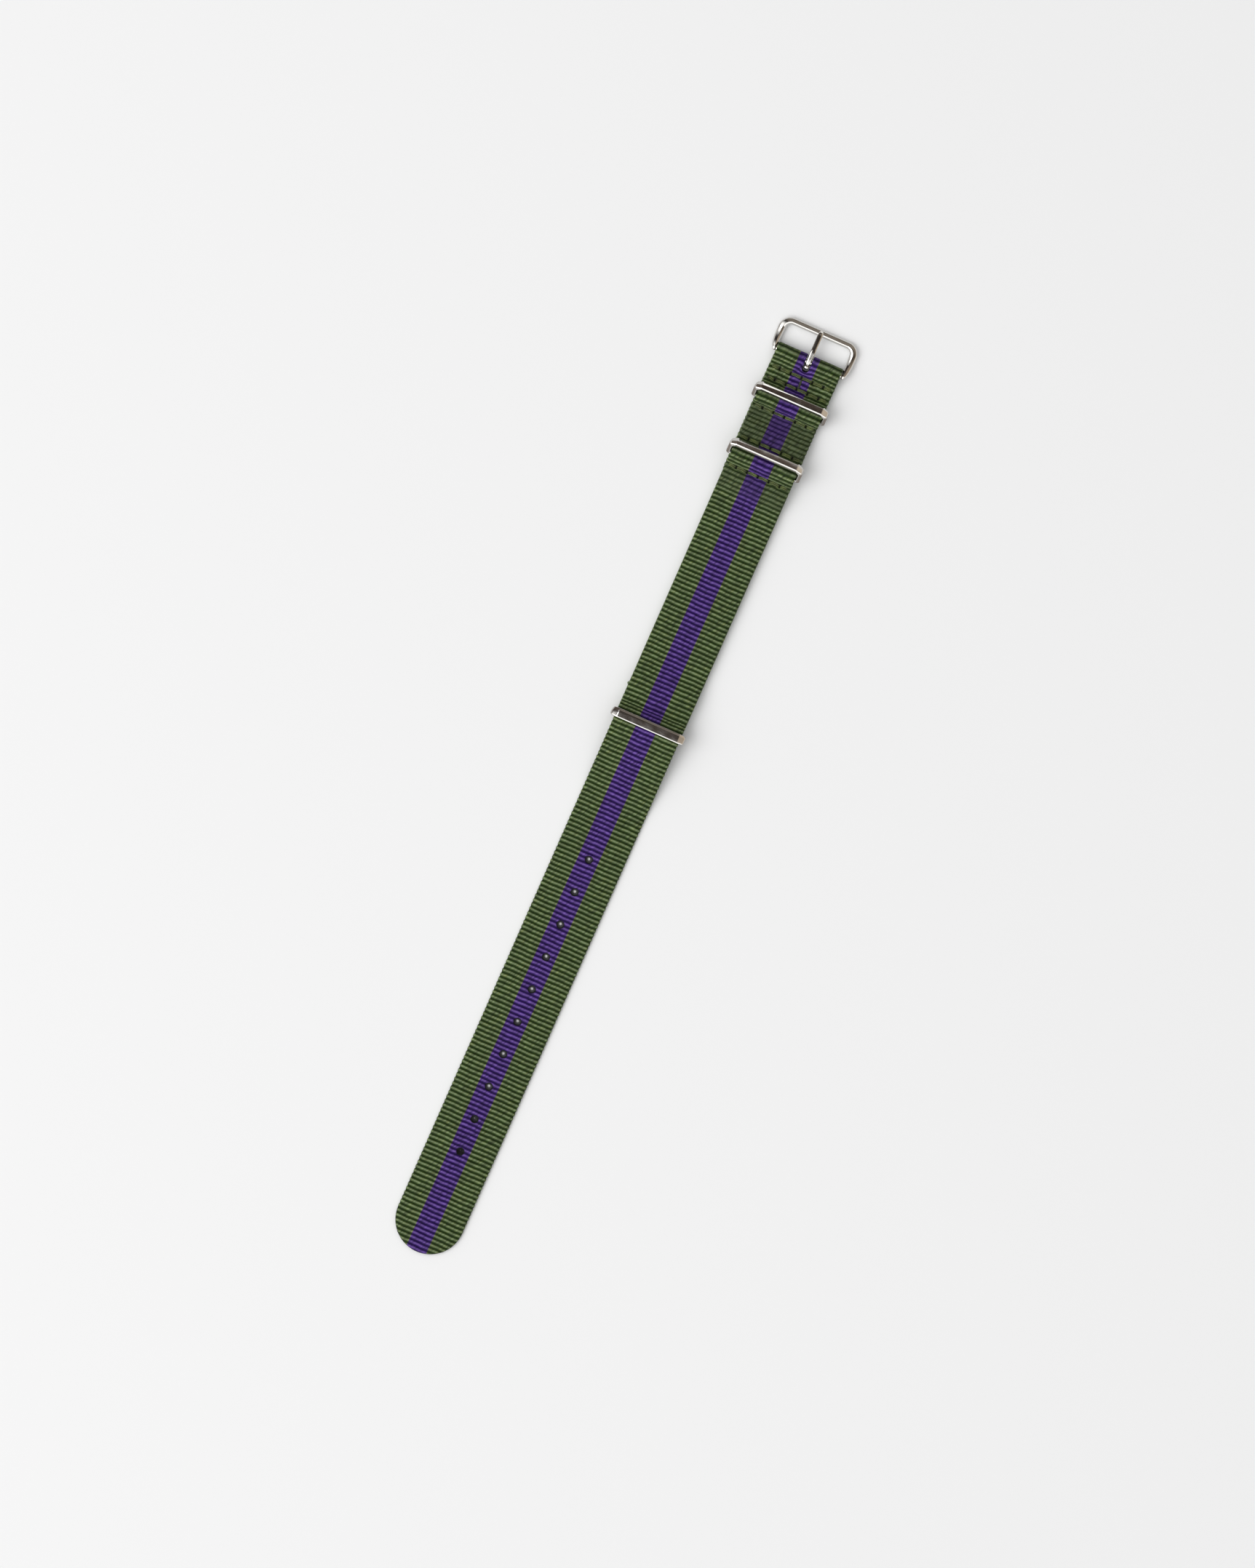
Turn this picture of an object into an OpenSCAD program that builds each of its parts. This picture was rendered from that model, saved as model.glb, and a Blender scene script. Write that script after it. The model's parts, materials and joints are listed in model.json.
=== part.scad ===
// Nylon watch strap with a wire buckle and three metal keepers.
// It lies flat on a table: X across the strap, +Y towards the buckle, +Z up.
// The side profile is drawn with the buckle pin's axis at y = 0 and the tail towards -y.

/* [Webbing] */
// Width of the webbing
web_w = 20; // [18:0.5:24]
// Thickness of one layer of webbing
web_t = 1.2; // [1:0.05:1.4]
// Gap between two layers that are sewn together
ply_gap = 0.04; // [0.02:0.01:0.08]
// Gap between two layers that only lie on each other
lie_gap = 0.06; // [0.04:0.01:0.15]

/* [Long strap] */
// Flap keeper's bar to the first hole
first_hole_after = 42; // [38:0.5:60]
// Distance from one hole to the next
hole_pitch = 10.14; // [7:0.02:12]
// Number of holes
hole_count = 10; // [6:1:12]
// Radius of a hole
hole_r = 1; // [0.8:0.05:1.3]
// Last hole to the tip of the tail
tail_after = 31.3; // [20:0.1:45]
// Last seam to the end of the layer that is folded back under the buckle end
fold_back_after = 1.65; // [1:0.05:3]
// Slope of the strap where it comes off the flap's fold
ramp_angle = 12; // [10:0.5:16]
// Radius of the bend where that slope meets the table
ramp_bend_r = 35; // [20:1:45]

/* [Short strap] */
// Last seam to the bar of the keeper in the flap's end
flap_span = 77.8; // [60:0.1:100]
// Start of the flap beyond the fourth seam
flap_start_before = 2.05; // [1.5:0.05:3]
// Flat land between the fold over the keeper's bar and the flap's own seam
flap_seam_land = 1.7; // [1:0.1:4]
// Flap's own seam to its turned-under end
flap_end_after = 4.4; // [2:0.1:8]

/* [Seams] */
// Pin axis to the first seam
seam_1_after = 5.05; // [4.9:0.05:7]
// First seam to the second seam
seam_2_after = 3.6; // [3:0.05:6]
// Third seam to the fourth seam
seam_4_after = 9.95; // [9.6:0.05:14]
// Distance between needle holes along a seam
stitch_pitch = 3.4; // [2.6:0.05:3.8]
// Outermost needle hole to the edge of the webbing
stitch_edge = 0.6; // [0.5:0.05:0.9]
// Radius of one strand of thread
thread_r = 0.2; // [0.15:0.01:0.22]
// Clearance between a strand and its needle hole
needle_gap = 0.05; // [0.02:0.01:0.08]
// Sideways place of the tack between the first two seams
tack_x = 0.3; // [-1:0.1:1]

/* [Keepers] */
// Width of the keeper's band
band_w = 2.8; // [2.6:0.1:3.4]
// Thickness of the band at the top and bottom bars
band_t = 1.2; // [1:0.05:1.4]
// Thickness of the band at the sides
band_side_t = 1.1; // [0.9:0.05:1.4]
// Radius of the rounded long edges of the bottom bar, which turn in the webbing's pocket
journal_r = 1.25; // [1.1:0.01:1.3]
// Radial clearance between that bar and its pocket
pocket_gap = 0.05; // [0.03:0.01:0.08]
// Gap between the webbing's edge and the side of a keeper
keeper_side_gap = 0.3; // [0.2:0.05:0.6]
// Play above a second layer of strap inside a keeper
keeper_play = 0.35; // [0.3:0.05:0.8]
// Outer corner radius of a keeper, seen along the strap
keeper_corner_r = 1.2; // [0.8:0.1:1.5]
// Radius of the band's long edges
band_edge_r = 0.4; // [0.2:0.05:0.5]
// Lean of the keeper next to the buckle, towards the buckle
front_lean = 30; // [0:1:60]
// Lean of the middle keeper, towards the buckle
middle_lean = 35; // [0:1:60]
// Slope of the webbing from the front keeper's bar down to the third seam
front_flank_tail = 65; // [60:1:68]
// Slope of the webbing from the front keeper's bar down to the second seam
front_flank_buckle = 35; // [32:1:60]
// Slope of the webbing on both sides of the other keepers' bars
flank = 45; // [40:1:55]
// Flat land between the second seam and the front keeper's pocket
front_land_buckle = 1.1; // [0.5:0.05:2]
// Flat land between the front keeper's pocket and the third seam
front_land_tail = 0.22; // [0.2:0.01:1]
// Flat land between the fourth seam and the middle keeper's pocket
middle_land_buckle = 1.23; // [0.9:0.01:2]
// Flat land between the middle keeper's pocket and the fifth seam
middle_land_tail = 0.38; // [0.3:0.01:1.5]

/* [Buckle] */
// Radius of the pin that the strap folds round
pin_r = 0.9; // [0.8:0.02:1]
// Radial clearance of the pin in the fold and in the tongue's eye
pin_gap = 0.05; // [0.03:0.01:0.08]
// Radius of the pin's thinner ends, pressed into the frame
spigot_r = 0.5; // [0.4:0.02:0.6]
// Depth of those ends in the frame
spigot_len = 0.9; // [0.6:0.05:1]
// Radial and end gap of those ends in their holes
spigot_gap = 0.01; // [0.01:0.005:0.02]
// Radius of the frame's round bar
wire_r = 0.97; // [0.9:0.01:1.05]
// Pin axis to the axis of the frame's front bar
frame_reach = 8.95; // [8.4:0.05:11]
// Gap between the webbing's edge and the frame
frame_side_gap = 0.22; // [0.15:0.01:0.5]
// Bend radius of the frame's front corners, on the bar's axis
front_bend_r = 2.6; // [1.6:0.1:3.5]
// Inside radius of the bends that turn the frame's ends in towards the pin
rear_bend_inside_r = 0.03; // [0.02:0.01:0.06]

/* [Tongue] */
// Width of the tongue
tongue_w = 1.65; // [1.4:0.05:1.8]
// Thickness of the tongue behind its bend
tongue_t = 1.1; // [0.9:0.05:1.1]
// Thickness of the tongue at its tip
tongue_tip_t = 0.85; // [0.6:0.05:0.9]
// Pin axis to the tongue's bend
tongue_bend = 3.2; // [2.6:0.1:4]
// How far the tip reaches past the axis of the front bar
tip_past_bar = 0.5; // [0.2:0.05:0.8]
// Gap between the resting tongue and the front bar
rest_gap = 0.05; // [0.03:0.01:0.1]
// Radius of the round heel at the back of the eye
heel_r = 1.2; // [0.9:0.05:1.3]
// Heel's centre behind the pin axis
heel_back = 1.3; // [1:0.05:1.4]
// Gap between the tongue and each side of its slot in the webbing
slot_side_gap = 0.375; // [0.2:0.025:0.6]
// Pin axis to the rear end of the slot
slot_back = 3.5; // [3.4:0.05:3.8]

/* [Hidden] */
$fn = 48;
// Degrees between two points of a bend in the side profile
arc_step = 9;
// Points in an eased step between two levels of the webbing
ease_steps = 8;
// How far each bore cuts past the drawn inside of its fold, so that its wall is a true cylinder
bore_cut = 0.05;
// Bend radius on the inside of the webbing at the foot of a pocket
foot_inside_r = 0.35;
// How far cutters run past the faces that they cut
over = 1;

// Colours
green = [0.30, 0.38, 0.20];
olive = [0.33, 0.34, 0.14];
steel = [0.78, 0.77, 0.74];

// Heights of the middle of each layer of webbing
sewn_step = web_t + ply_gap;
laid_step = web_t + lie_gap;
level_1 = web_t / 2;
level_2 = level_1 + sewn_step;
level_3 = level_2 + sewn_step;
over_flap = level_1 + laid_step;
over_fold = level_2 + laid_step;
// Tops of two and of three layers that are sewn together
two_layers = level_2 + web_t / 2;
three_layers = level_3 + web_t / 2;

// Pockets round the keepers' bottom bars, and the fold round the pin
pocket_r = journal_r + pocket_gap;
hump_r = pocket_r - bore_cut + web_t / 2;
hump_h = 2 * (pocket_r - bore_cut) - ply_gap;
ride_r = hump_r + laid_step;
foot_r = web_t / 2 + foot_inside_r;
tunnel_r = pin_r + pin_gap;
pin_fold_r = tunnel_r - bore_cut + web_t / 2;
pin_z = web_t / 2 + pin_fold_r;
front_z = level_1 + hump_r;
middle_z = level_2 + hump_r;
flap_z = level_1 + hump_r;

// Places along the strap, from the pin axis towards the tail
seam_1_y = -seam_1_after;
seam_2_y = seam_1_y - seam_2_after;
front_y = seam_2_y - front_land_buckle - run(hump_h, hump_r, foot_r, front_flank_buckle);
seam_3_y = front_y - run(hump_h, hump_r, foot_r, front_flank_tail) - front_land_tail;
seam_4_y = seam_3_y - seam_4_after;
middle_y = seam_4_y - middle_land_buckle - run(hump_h, hump_r, foot_r, flank);
seam_5_y = middle_y - run(hump_h, hump_r, foot_r, flank) - middle_land_tail;
fold_back_y = seam_5_y - fold_back_after;
flap_start_y = seam_4_y + flap_start_before;
flap_y = seam_5_y - flap_span;
flap_seam_y = flap_y + run(hump_h, hump_r, foot_r, flank) + flap_seam_land;
flap_end_y = flap_seam_y + flap_end_after;
first_hole_y = flap_y - first_hole_after;
tail_y = first_hole_y - hole_pitch * (hole_count - 1) - tail_after;

// Steps between levels: where they start past a layer's end, and how long they are
step_clear = 0.5;
upper_step = 5.6;
lower_step = 4.2;
laid_step_run = 8;
pin_step = 4.35;

// Buckle: the frame leans down until its front bar lies on the table
arm_x = web_w / 2 + frame_side_gap + wire_r;
rear_bend_r = wire_r + rear_bend_inside_r;
frame_tilt = asin((pin_z - wire_r) / frame_reach);
frame_front_y = frame_reach * cos(frame_tilt) + wire_r;
y_shift = -(tail_y + frame_front_y) / 2;

// Keeper: the strap's wall, a second layer and the play fit under its top bar
band_inside = pocket_r - bore_cut + 2 * web_t + keeper_play;
band_top = band_inside + band_t;
keeper_in_x = web_w / 2 + keeper_side_gap;
keeper_out_x = keeper_in_x + band_side_t;

// Tongue: it droops from its bend until it lies on the front bar
eye_r = pin_z - rest_gap;
back_z = pin_fold_r + web_t / 2;
bar_y = frame_reach * cos(frame_tilt);
bar_z = -frame_reach * sin(frame_tilt);
under_bend_z = back_z - tongue_t;
bend_to_bar = norm([bar_y - tongue_bend, bar_z - under_bend_z]);
tongue_droop = atan2(under_bend_z - bar_z, bar_y - tongue_bend) - asin((wire_r + rest_gap) / bend_to_bar);
tip_y = bar_y + tip_past_bar;
tip_under_z = under_bend_z - (tip_y - tongue_bend) * tan(tongue_droop);
slot_w = tongue_w + 2 * slot_side_gap;

// Stitches: two strands side by side lie in a groove, with needle holes at the stitches' ends
needle_r = thread_r + needle_gap;
strand_dy = 0.9 * thread_r;
groove_gap = 0.02;
groove_d = 2 * (thread_r + groove_gap);
groove_half_w = strand_dy + thread_r + groove_gap;
shortest_stitch = 1.5;
inner_holes = floor((web_w / 2 - stitch_edge - shortest_stitch) / stitch_pitch);
hole_xs = concat(
    [-web_w / 2 + stitch_edge],
    [for (i = [-inner_holes:inner_holes]) i * stitch_pitch],
    [web_w / 2 - stitch_edge]
);
// The tack's needle holes keep clear of the grooves of the seams at its ends
tack_clear = 2 * (strand_dy + thread_r);
tack_low_y = seam_2_y + tack_clear;
tack_high_y = seam_1_y - tack_clear;

// Length of the straight flank, and run of a whole slope, from the top of a bend of radius r
// down by h at angle a into a foot of radius foot
function slant(h, r, foot, a) = (h - (r + foot) * (1 - cos(a))) / sin(a);
function run(h, r, foot, a) = (r + foot) * sin(a) + slant(h, r, foot, a) * cos(a);

// A profile is a list of [y, z, heading]. bend goes round [cy, cz] from angle a to angle b
function bend(cy, cz, r, a, b) =
    let (n = ceil(abs(b - a) / arc_step))
    [for (i = [0:n])
        let (t = a + (b - a) * i / n)
        [cy + r * cos(t), cz + r * sin(t), b > a ? t + 90 : t - 90]];

// ease is a smooth step from [y0, z0] to [y1, z1], level at both ends
function ease(y0, z0, y1, z1) =
    [for (i = [0:ease_steps])
        let (t = i / ease_steps)
        [
            y0 + (y1 - y0) * t,
            z0 + (z1 - z0) * t * t * (3 - 2 * t),
            atan2((z1 - z0) * 6 * t * (1 - t), y1 - y0)
        ]];

// climb comes up at angle a to the crest of a hump of radius r, and descend goes down from it
function climb(cy, cz, r, h, foot, a) = concat(
    bend(cy - run(h, r, foot, a), cz + r - h + foot, foot, -90, -90 + a),
    bend(cy, cz, r, 90 + a, 90)
);
function descend(cy, cz, r, h, foot, a) = concat(
    bend(cy, cz, r, 90, 90 - a),
    bend(cy + run(h, r, foot, a), cz + r - h + foot, foot, -90 - a, -90)
);

// Two profiles that share their joining point
function joined(p, q) = concat(p, [for (i = [1:len(q) - 1]) q[i]]);

// The outline of a layer of webbing whose middle follows a profile
function side_of(p, d) = [p[0] - d * sin(p[2]), p[1] + d * cos(p[2])];
function outline(path) = concat(
    [for (p = path) side_of(p, web_t / 2)],
    [for (i = [len(path) - 1:-1:0]) side_of(path[i], -web_t / 2)]
);

function long_profile() = concat(
    [[tail_y, level_1, 0]],
    joined(
        climb(flap_y, flap_z, ride_r, flap_z + ride_r - level_1, ramp_bend_r, ramp_angle),
        descend(flap_y, flap_z, ride_r, flap_z + ride_r - over_fold, foot_r + foot_inside_r, flank)
    ),
    ease(flap_end_y + step_clear, over_fold, flap_end_y + step_clear + laid_step_run, over_flap),
    ease(fold_back_y - step_clear - upper_step, over_flap, fold_back_y - step_clear, level_3),
    joined(
        climb(middle_y, middle_z, hump_r, hump_h, foot_r, flank),
        descend(middle_y, middle_z, hump_r, hump_h, foot_r, flank)
    ),
    ease(flap_start_y + step_clear, level_3, flap_start_y + step_clear + upper_step, level_2),
    joined(
        climb(front_y, front_z, hump_r, hump_h, foot_r, front_flank_tail),
        descend(front_y, front_z, hump_r, hump_h, foot_r, front_flank_buckle)
    ),
    joined(
        ease(-pin_step, level_2, 0, pin_z + pin_fold_r),
        bend(0, pin_z, pin_fold_r, 90, -90)
    ),
    ease(flap_start_y + step_clear + lower_step, level_1, flap_start_y + step_clear, level_2),
    [[fold_back_y, level_2, 180]]
);

function short_profile() = concat(
    [[flap_end_y, level_1, 180]],
    joined(
        bend(flap_y, flap_z, hump_r, -90, -270),
        descend(flap_y, flap_z, hump_r, hump_h, foot_r, flank)
    ),
    ease(flap_end_y + step_clear, level_2, flap_end_y + step_clear + upper_step, level_1),
    [[flap_start_y, level_1, 0]]
);

// Puts a piece drawn about the pin's place into the strap's own frame
module placed() {
    translate([0, y_shift, 0]) children();
}

// A flat shape in the plane of the side profile, made w wide across the strap
module across(w) {
    rotate([90, 0, 90]) linear_extrude(height = w, center = true) children();
}

// A round bar or bore along X
module cross_bar(y, z, r, w) {
    translate([0, y, z]) rotate([0, 90, 0]) cylinder(r = r, h = w, center = true);
}

// A seam's needle holes through layers of webbing whose top is at top, and a groove above and below.
// Under a loose layer the holes stop halfway across the gap to it
module row_cut(y, top) {
    for (x = hole_xs)
        translate([x, y, -over]) cylinder(r = needle_r, h = top + over + lie_gap / 2, $fn = 24);
    for (z = [-over, top - groove_d])
        translate([hole_xs[0] - needle_r, y - groove_half_w, z])
            cube([2 * (needle_r - hole_xs[0]), 2 * groove_half_w, over + groove_d]);
}

module tack_cut() {
    for (y = [tack_low_y, tack_high_y])
        translate([tack_x, y, -over]) cylinder(r = needle_r, h = two_layers + over, $fn = 24);
    for (z = [-over, two_layers - groove_d])
        translate([tack_x - groove_half_w, tack_low_y - needle_r, z])
            cube([2 * groove_half_w, tack_high_y - tack_low_y + 2 * needle_r, over + groove_d]);
}

module long_strap() {
    color(green) placed() difference() {
        intersection() {
            across(web_w) polygon(outline(long_profile()));
            linear_extrude(height = middle_z + ride_r + web_t) {
                translate([-web_w / 2, tail_y + web_w / 2]) square([web_w, web_w - tail_y]);
                translate([0, tail_y + web_w / 2]) circle(r = web_w / 2, $fn = 96);
            }
        }
        for (i = [0:hole_count - 1])
            translate([0, first_hole_y - i * hole_pitch, -over]) cylinder(r = hole_r, h = web_t + 2 * over);
        cross_bar(0, pin_z, tunnel_r, web_w + 2 * over);
        cross_bar(front_y, front_z, pocket_r, web_w + 2 * over);
        cross_bar(middle_y, middle_z, pocket_r, web_w + 2 * over);
        translate([0, slot_w / 2 - slot_back, -over]) {
            translate([-slot_w / 2, 0, 0]) cube([slot_w, slot_back + pin_z + over, 2 * pin_z + 2 * over]);
            cylinder(r = slot_w / 2, h = 2 * pin_z + 2 * over);
        }
        row_cut(seam_1_y, two_layers);
        row_cut(seam_2_y, two_layers);
        row_cut(seam_3_y, two_layers);
        row_cut(seam_4_y, three_layers);
        row_cut(seam_5_y, three_layers);
        tack_cut();
    }
}

module short_strap() {
    color(green) placed() difference() {
        across(web_w) polygon(outline(short_profile()));
        cross_bar(flap_y, flap_z, pocket_r, web_w + 2 * over);
        row_cut(seam_4_y, three_layers);
        row_cut(seam_5_y, three_layers);
        row_cut(flap_seam_y, two_layers);
    }
}

// A rectangle with its corners rounded, from [x0, y0] to [x1, y1]
module rounded(x0, y0, x1, y1, r) {
    translate([x0 + r, y0]) square([x1 - x0 - 2 * r, y1 - y0]);
    translate([x0, y0 + r]) square([x1 - x0, y1 - y0 - 2 * r]);
    for (x = [x0 + r, x1 - r], y = [y0 + r, y1 - r])
        translate([x, y]) circle(r = r);
}

// A flat shape seen along the strap, made w long
module along(w) {
    rotate([90, 0, 0]) linear_extrude(height = w, center = true) children();
}

// A flat band bent into a closed ring, drawn about the axis of its bottom bar.
// Inside the webbing the bar's long edges are rounded, so that it turns in its pocket
module keeper_ring() {
    low = -band_t / 2;
    difference() {
        intersection() {
            along(band_w + 2 * over)
                rounded(-keeper_out_x, low, keeper_out_x, band_top, keeper_corner_r);
            across(2 * (keeper_out_x + over))
                rounded(-band_w / 2, low, band_w / 2, band_top, band_edge_r);
            translate([0, 0, low - over]) linear_extrude(height = band_top - low + 2 * over)
                rounded(-keeper_out_x, -band_w / 2, keeper_out_x, band_w / 2, band_edge_r);
        }
        along(band_w + 2 * over) {
            translate([-keeper_in_x, -low]) square([2 * keeper_in_x, band_inside + low - band_edge_r]);
            rounded(-keeper_in_x, -low + band_edge_r, keeper_in_x, band_inside, band_edge_r);
        }
        difference() {
            translate([-keeper_in_x, -band_w, low - over])
                cube([2 * keeper_in_x, 2 * band_w, band_t + over]);
            cross_bar(0, 0, journal_r, 2 * (keeper_in_x + over));
        }
    }
}

module front_keeper() {
    color(steel) placed() translate([0, front_y, front_z]) rotate([-front_lean, 0, 0]) keeper_ring();
}

module middle_keeper() {
    color(steel) placed() translate([0, middle_y, middle_z]) rotate([-middle_lean, 0, 0]) keeper_ring();
}

module flap_keeper() {
    color(steel) placed() translate([0, flap_y, flap_z]) keeper_ring();
}

// A quarter turn of round bar about Z, from angle a, with its bend's centre at [x, y]
module quarter_bend(x, y, r, a) {
    translate([x, y, 0]) rotate([0, 0, a]) rotate_extrude(angle = 90) translate([r, 0]) circle(r = wire_r);
}

// Round bar bent into an open loop, whose ends are drilled for the pin
module buckle_frame() {
    color(steel) placed() translate([0, 0, pin_z]) rotate([-frame_tilt, 0, 0]) difference() {
        union() {
            cross_bar(frame_reach, 0, wire_r, 2 * (arm_x - front_bend_r));
            quarter_bend(arm_x - front_bend_r, frame_reach - front_bend_r, front_bend_r, 0);
            quarter_bend(front_bend_r - arm_x, frame_reach - front_bend_r, front_bend_r, 90);
            quarter_bend(rear_bend_r - arm_x, rear_bend_r, rear_bend_r, 180);
            quarter_bend(arm_x - rear_bend_r, rear_bend_r, rear_bend_r, 270);
            for (x = [-arm_x, arm_x])
                translate([x, rear_bend_r, 0]) rotate([-90, 0, 0])
                    cylinder(r = wire_r, h = frame_reach - rear_bend_r - front_bend_r);
        }
        cross_bar(0, 0, spigot_r + spigot_gap, 2 * (arm_x - rear_bend_r + spigot_len + spigot_gap));
    }
}

// The pin's shoulders stand against the frame's ends
module buckle_pin() {
    color(steel) placed() {
        cross_bar(0, pin_z, pin_r, 2 * (arm_x - rear_bend_r - spigot_gap));
        cross_bar(0, pin_z, spigot_r, 2 * (arm_x - rear_bend_r + spigot_len));
    }
}

// An eye round the pin with a round heel, and an arm that bends down to the front bar.
// Seen from above, its tip is round
module buckle_tongue() {
    color(steel) placed() translate([0, 0, pin_z]) difference() {
        intersection() {
            union() {
                cross_bar(0, 0, eye_r, tongue_w);
                cross_bar(-heel_back, back_z - heel_r, heel_r, tongue_w);
                across(tongue_w) polygon([
                    [-heel_back, back_z],
                    [tongue_bend, back_z],
                    [
                        tip_y + tongue_tip_t * sin(tongue_droop),
                        tip_under_z + tongue_tip_t * cos(tongue_droop)
                    ],
                    [tip_y, tip_under_z],
                    [tongue_bend, under_bend_z],
                    [-heel_back, under_bend_z]
                ]);
            }
            linear_extrude(height = 2 * (eye_r + tongue_t), center = true) {
                translate([-tongue_w / 2 - over, -2 * eye_r])
                    square([tongue_w + 2 * over, 2 * eye_r + tip_y - tongue_w / 2]);
                translate([0, tip_y - tongue_w / 2]) circle(r = tongue_w / 2);
            }
        }
        cross_bar(0, 0, tunnel_r, tongue_w + 2 * over);
    }
}

// The needle's thread lies on the upper face and the bobbin's on the lower one,
// and they meet halfway down each needle hole
module needle_row(y, top) {
    thread_row(y, top - groove_gap - thread_r, top / 2);
}

module bobbin_row(y, top) {
    thread_row(y, groove_gap + thread_r, top / 2);
}

module thread_row(y, z, middle) {
    color(olive) placed() {
        for (dy = [-strand_dy, strand_dy])
            translate([hole_xs[0], y + dy, z]) rotate([0, 90, 0])
                cylinder(r = thread_r, h = -2 * hole_xs[0]);
        for (x = hole_xs)
            translate([x, y, min(z, middle)]) cylinder(r = thread_r, h = abs(middle - z));
    }
}

module thread_tack(z, middle) {
    color(olive) placed() {
        for (dx = [-strand_dy, strand_dy])
            translate([tack_x + dx, tack_low_y, z]) rotate([-90, 0, 0])
                cylinder(r = thread_r, h = tack_high_y - tack_low_y);
        for (y = [tack_low_y, tack_high_y])
            translate([tack_x, y, min(z, middle)]) cylinder(r = thread_r, h = abs(middle - z));
    }
}

module seam_1_needle_thread() { needle_row(seam_1_y, two_layers); }
module seam_1_bobbin_thread() { bobbin_row(seam_1_y, two_layers); }
module tack_needle_thread() { thread_tack(two_layers - groove_gap - thread_r, two_layers / 2); }
module tack_bobbin_thread() { thread_tack(groove_gap + thread_r, two_layers / 2); }
module seam_2_needle_thread() { needle_row(seam_2_y, two_layers); }
module seam_2_bobbin_thread() { bobbin_row(seam_2_y, two_layers); }
module seam_3_needle_thread() { needle_row(seam_3_y, two_layers); }
module seam_3_bobbin_thread() { bobbin_row(seam_3_y, two_layers); }
module seam_4_needle_thread() { needle_row(seam_4_y, three_layers); }
module seam_4_bobbin_thread() { bobbin_row(seam_4_y, three_layers); }
module seam_5_needle_thread() { needle_row(seam_5_y, three_layers); }
module seam_5_bobbin_thread() { bobbin_row(seam_5_y, three_layers); }
module flap_seam_needle_thread() { needle_row(flap_seam_y, two_layers); }
module flap_seam_bobbin_thread() { bobbin_row(flap_seam_y, two_layers); }

long_strap();
short_strap();
front_keeper();
middle_keeper();
flap_keeper();
buckle_frame();
buckle_pin();
buckle_tongue();
seam_1_needle_thread();
seam_1_bobbin_thread();
tack_needle_thread();
tack_bobbin_thread();
seam_2_needle_thread();
seam_2_bobbin_thread();
seam_3_needle_thread();
seam_3_bobbin_thread();
seam_4_needle_thread();
seam_4_bobbin_thread();
seam_5_needle_thread();
seam_5_bobbin_thread();
flap_seam_needle_thread();
flap_seam_bobbin_thread();
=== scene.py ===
import json
import math

import bpy
import numpy as np
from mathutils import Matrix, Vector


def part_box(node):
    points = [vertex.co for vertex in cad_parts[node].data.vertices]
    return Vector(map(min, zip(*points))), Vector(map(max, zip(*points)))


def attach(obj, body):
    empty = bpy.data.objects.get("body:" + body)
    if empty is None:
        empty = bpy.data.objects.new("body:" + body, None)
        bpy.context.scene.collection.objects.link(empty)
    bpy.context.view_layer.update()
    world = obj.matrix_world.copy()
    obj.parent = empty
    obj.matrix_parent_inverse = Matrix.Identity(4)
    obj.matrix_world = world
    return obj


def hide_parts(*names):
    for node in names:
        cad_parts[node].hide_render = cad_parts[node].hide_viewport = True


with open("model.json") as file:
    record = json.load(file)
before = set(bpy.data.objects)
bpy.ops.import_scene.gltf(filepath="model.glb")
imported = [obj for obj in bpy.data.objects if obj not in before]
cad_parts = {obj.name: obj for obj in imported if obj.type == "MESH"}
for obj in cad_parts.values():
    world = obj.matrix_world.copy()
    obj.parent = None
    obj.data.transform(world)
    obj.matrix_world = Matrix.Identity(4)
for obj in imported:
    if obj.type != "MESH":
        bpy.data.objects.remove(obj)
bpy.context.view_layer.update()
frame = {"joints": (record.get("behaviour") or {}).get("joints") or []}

# The long strap is a length of 20 mm ribbed nylon webbing, woven, cut with a hot knife and sewn to itself.
# It runs from its tail over the short strap's end and up to the buckle, folds round the pin and comes back
# under itself, and its humps hold the keepers' bars. Sizes are millimetres, which skin() turns to metres.
mm = 0.001
hinge = {joint["name"]: [v / mm for v in joint["pos_m"][1:]] for joint in frame["joints"]}
pin = hinge["buckle_swing"]
front_bar = hinge["front_keeper_lean"]
middle_bar = hinge["middle_keeper_lean"]
flap_bar = hinge["flap_keeper_lean"]
web_t = 1.2
sewn_step = web_t + 0.04
laid_step = web_t + 0.06
level = [web_t / 2, web_t / 2 + sewn_step, web_t / 2 + 2 * sewn_step]
over_flap = level[0] + laid_step
over_fold = level[1] + laid_step
hump_r = 1.85
hump_h = 2.46
ride_r = hump_r + laid_step
foot_r = 0.95
pin_fold_r = 1.5


def box_of(name):
    """The corners of a solid's box in millimetres."""
    low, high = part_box(name)
    return np.array(low) / mm, np.array(high) / mm


def seam_place(row):
    """A seam's place along the strap is the middle of its needle thread's box."""
    low, high = box_of(row + "_needle_thread")
    return (low[1] + high[1]) / 2


half_w = box_of("long_strap")[1][0]
tail_y = box_of("long_strap")[0][1]
flap_start_y = box_of("short_strap")[1][1]
seam_y = {row: seam_place(row) for row in ("seam_1", "seam_2", "seam_3", "seam_4", "seam_5", "flap_seam")}
fold_back_y = seam_y["seam_5"] - 1.65
flap_end_y = seam_y["flap_seam"] + 4.4


def bend(centre, r, a, b):
    """An arc: the centre, plus r times the cosine and sine of an angle that goes from a to b degrees."""
    t = np.radians(np.linspace(a, b, 48))
    return np.stack([centre[0] + r * np.cos(t), centre[1] + r * np.sin(t)], 1)


def ease(y0, z0, y1, z1):
    """A step with level ends: the place goes as t, and the height as three t squared less two t cubed."""
    t = np.linspace(0, 1, 48)
    return np.stack([y0 + (y1 - y0) * t, z0 + (z1 - z0) * t * t * (3 - 2 * t)], 1)


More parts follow.
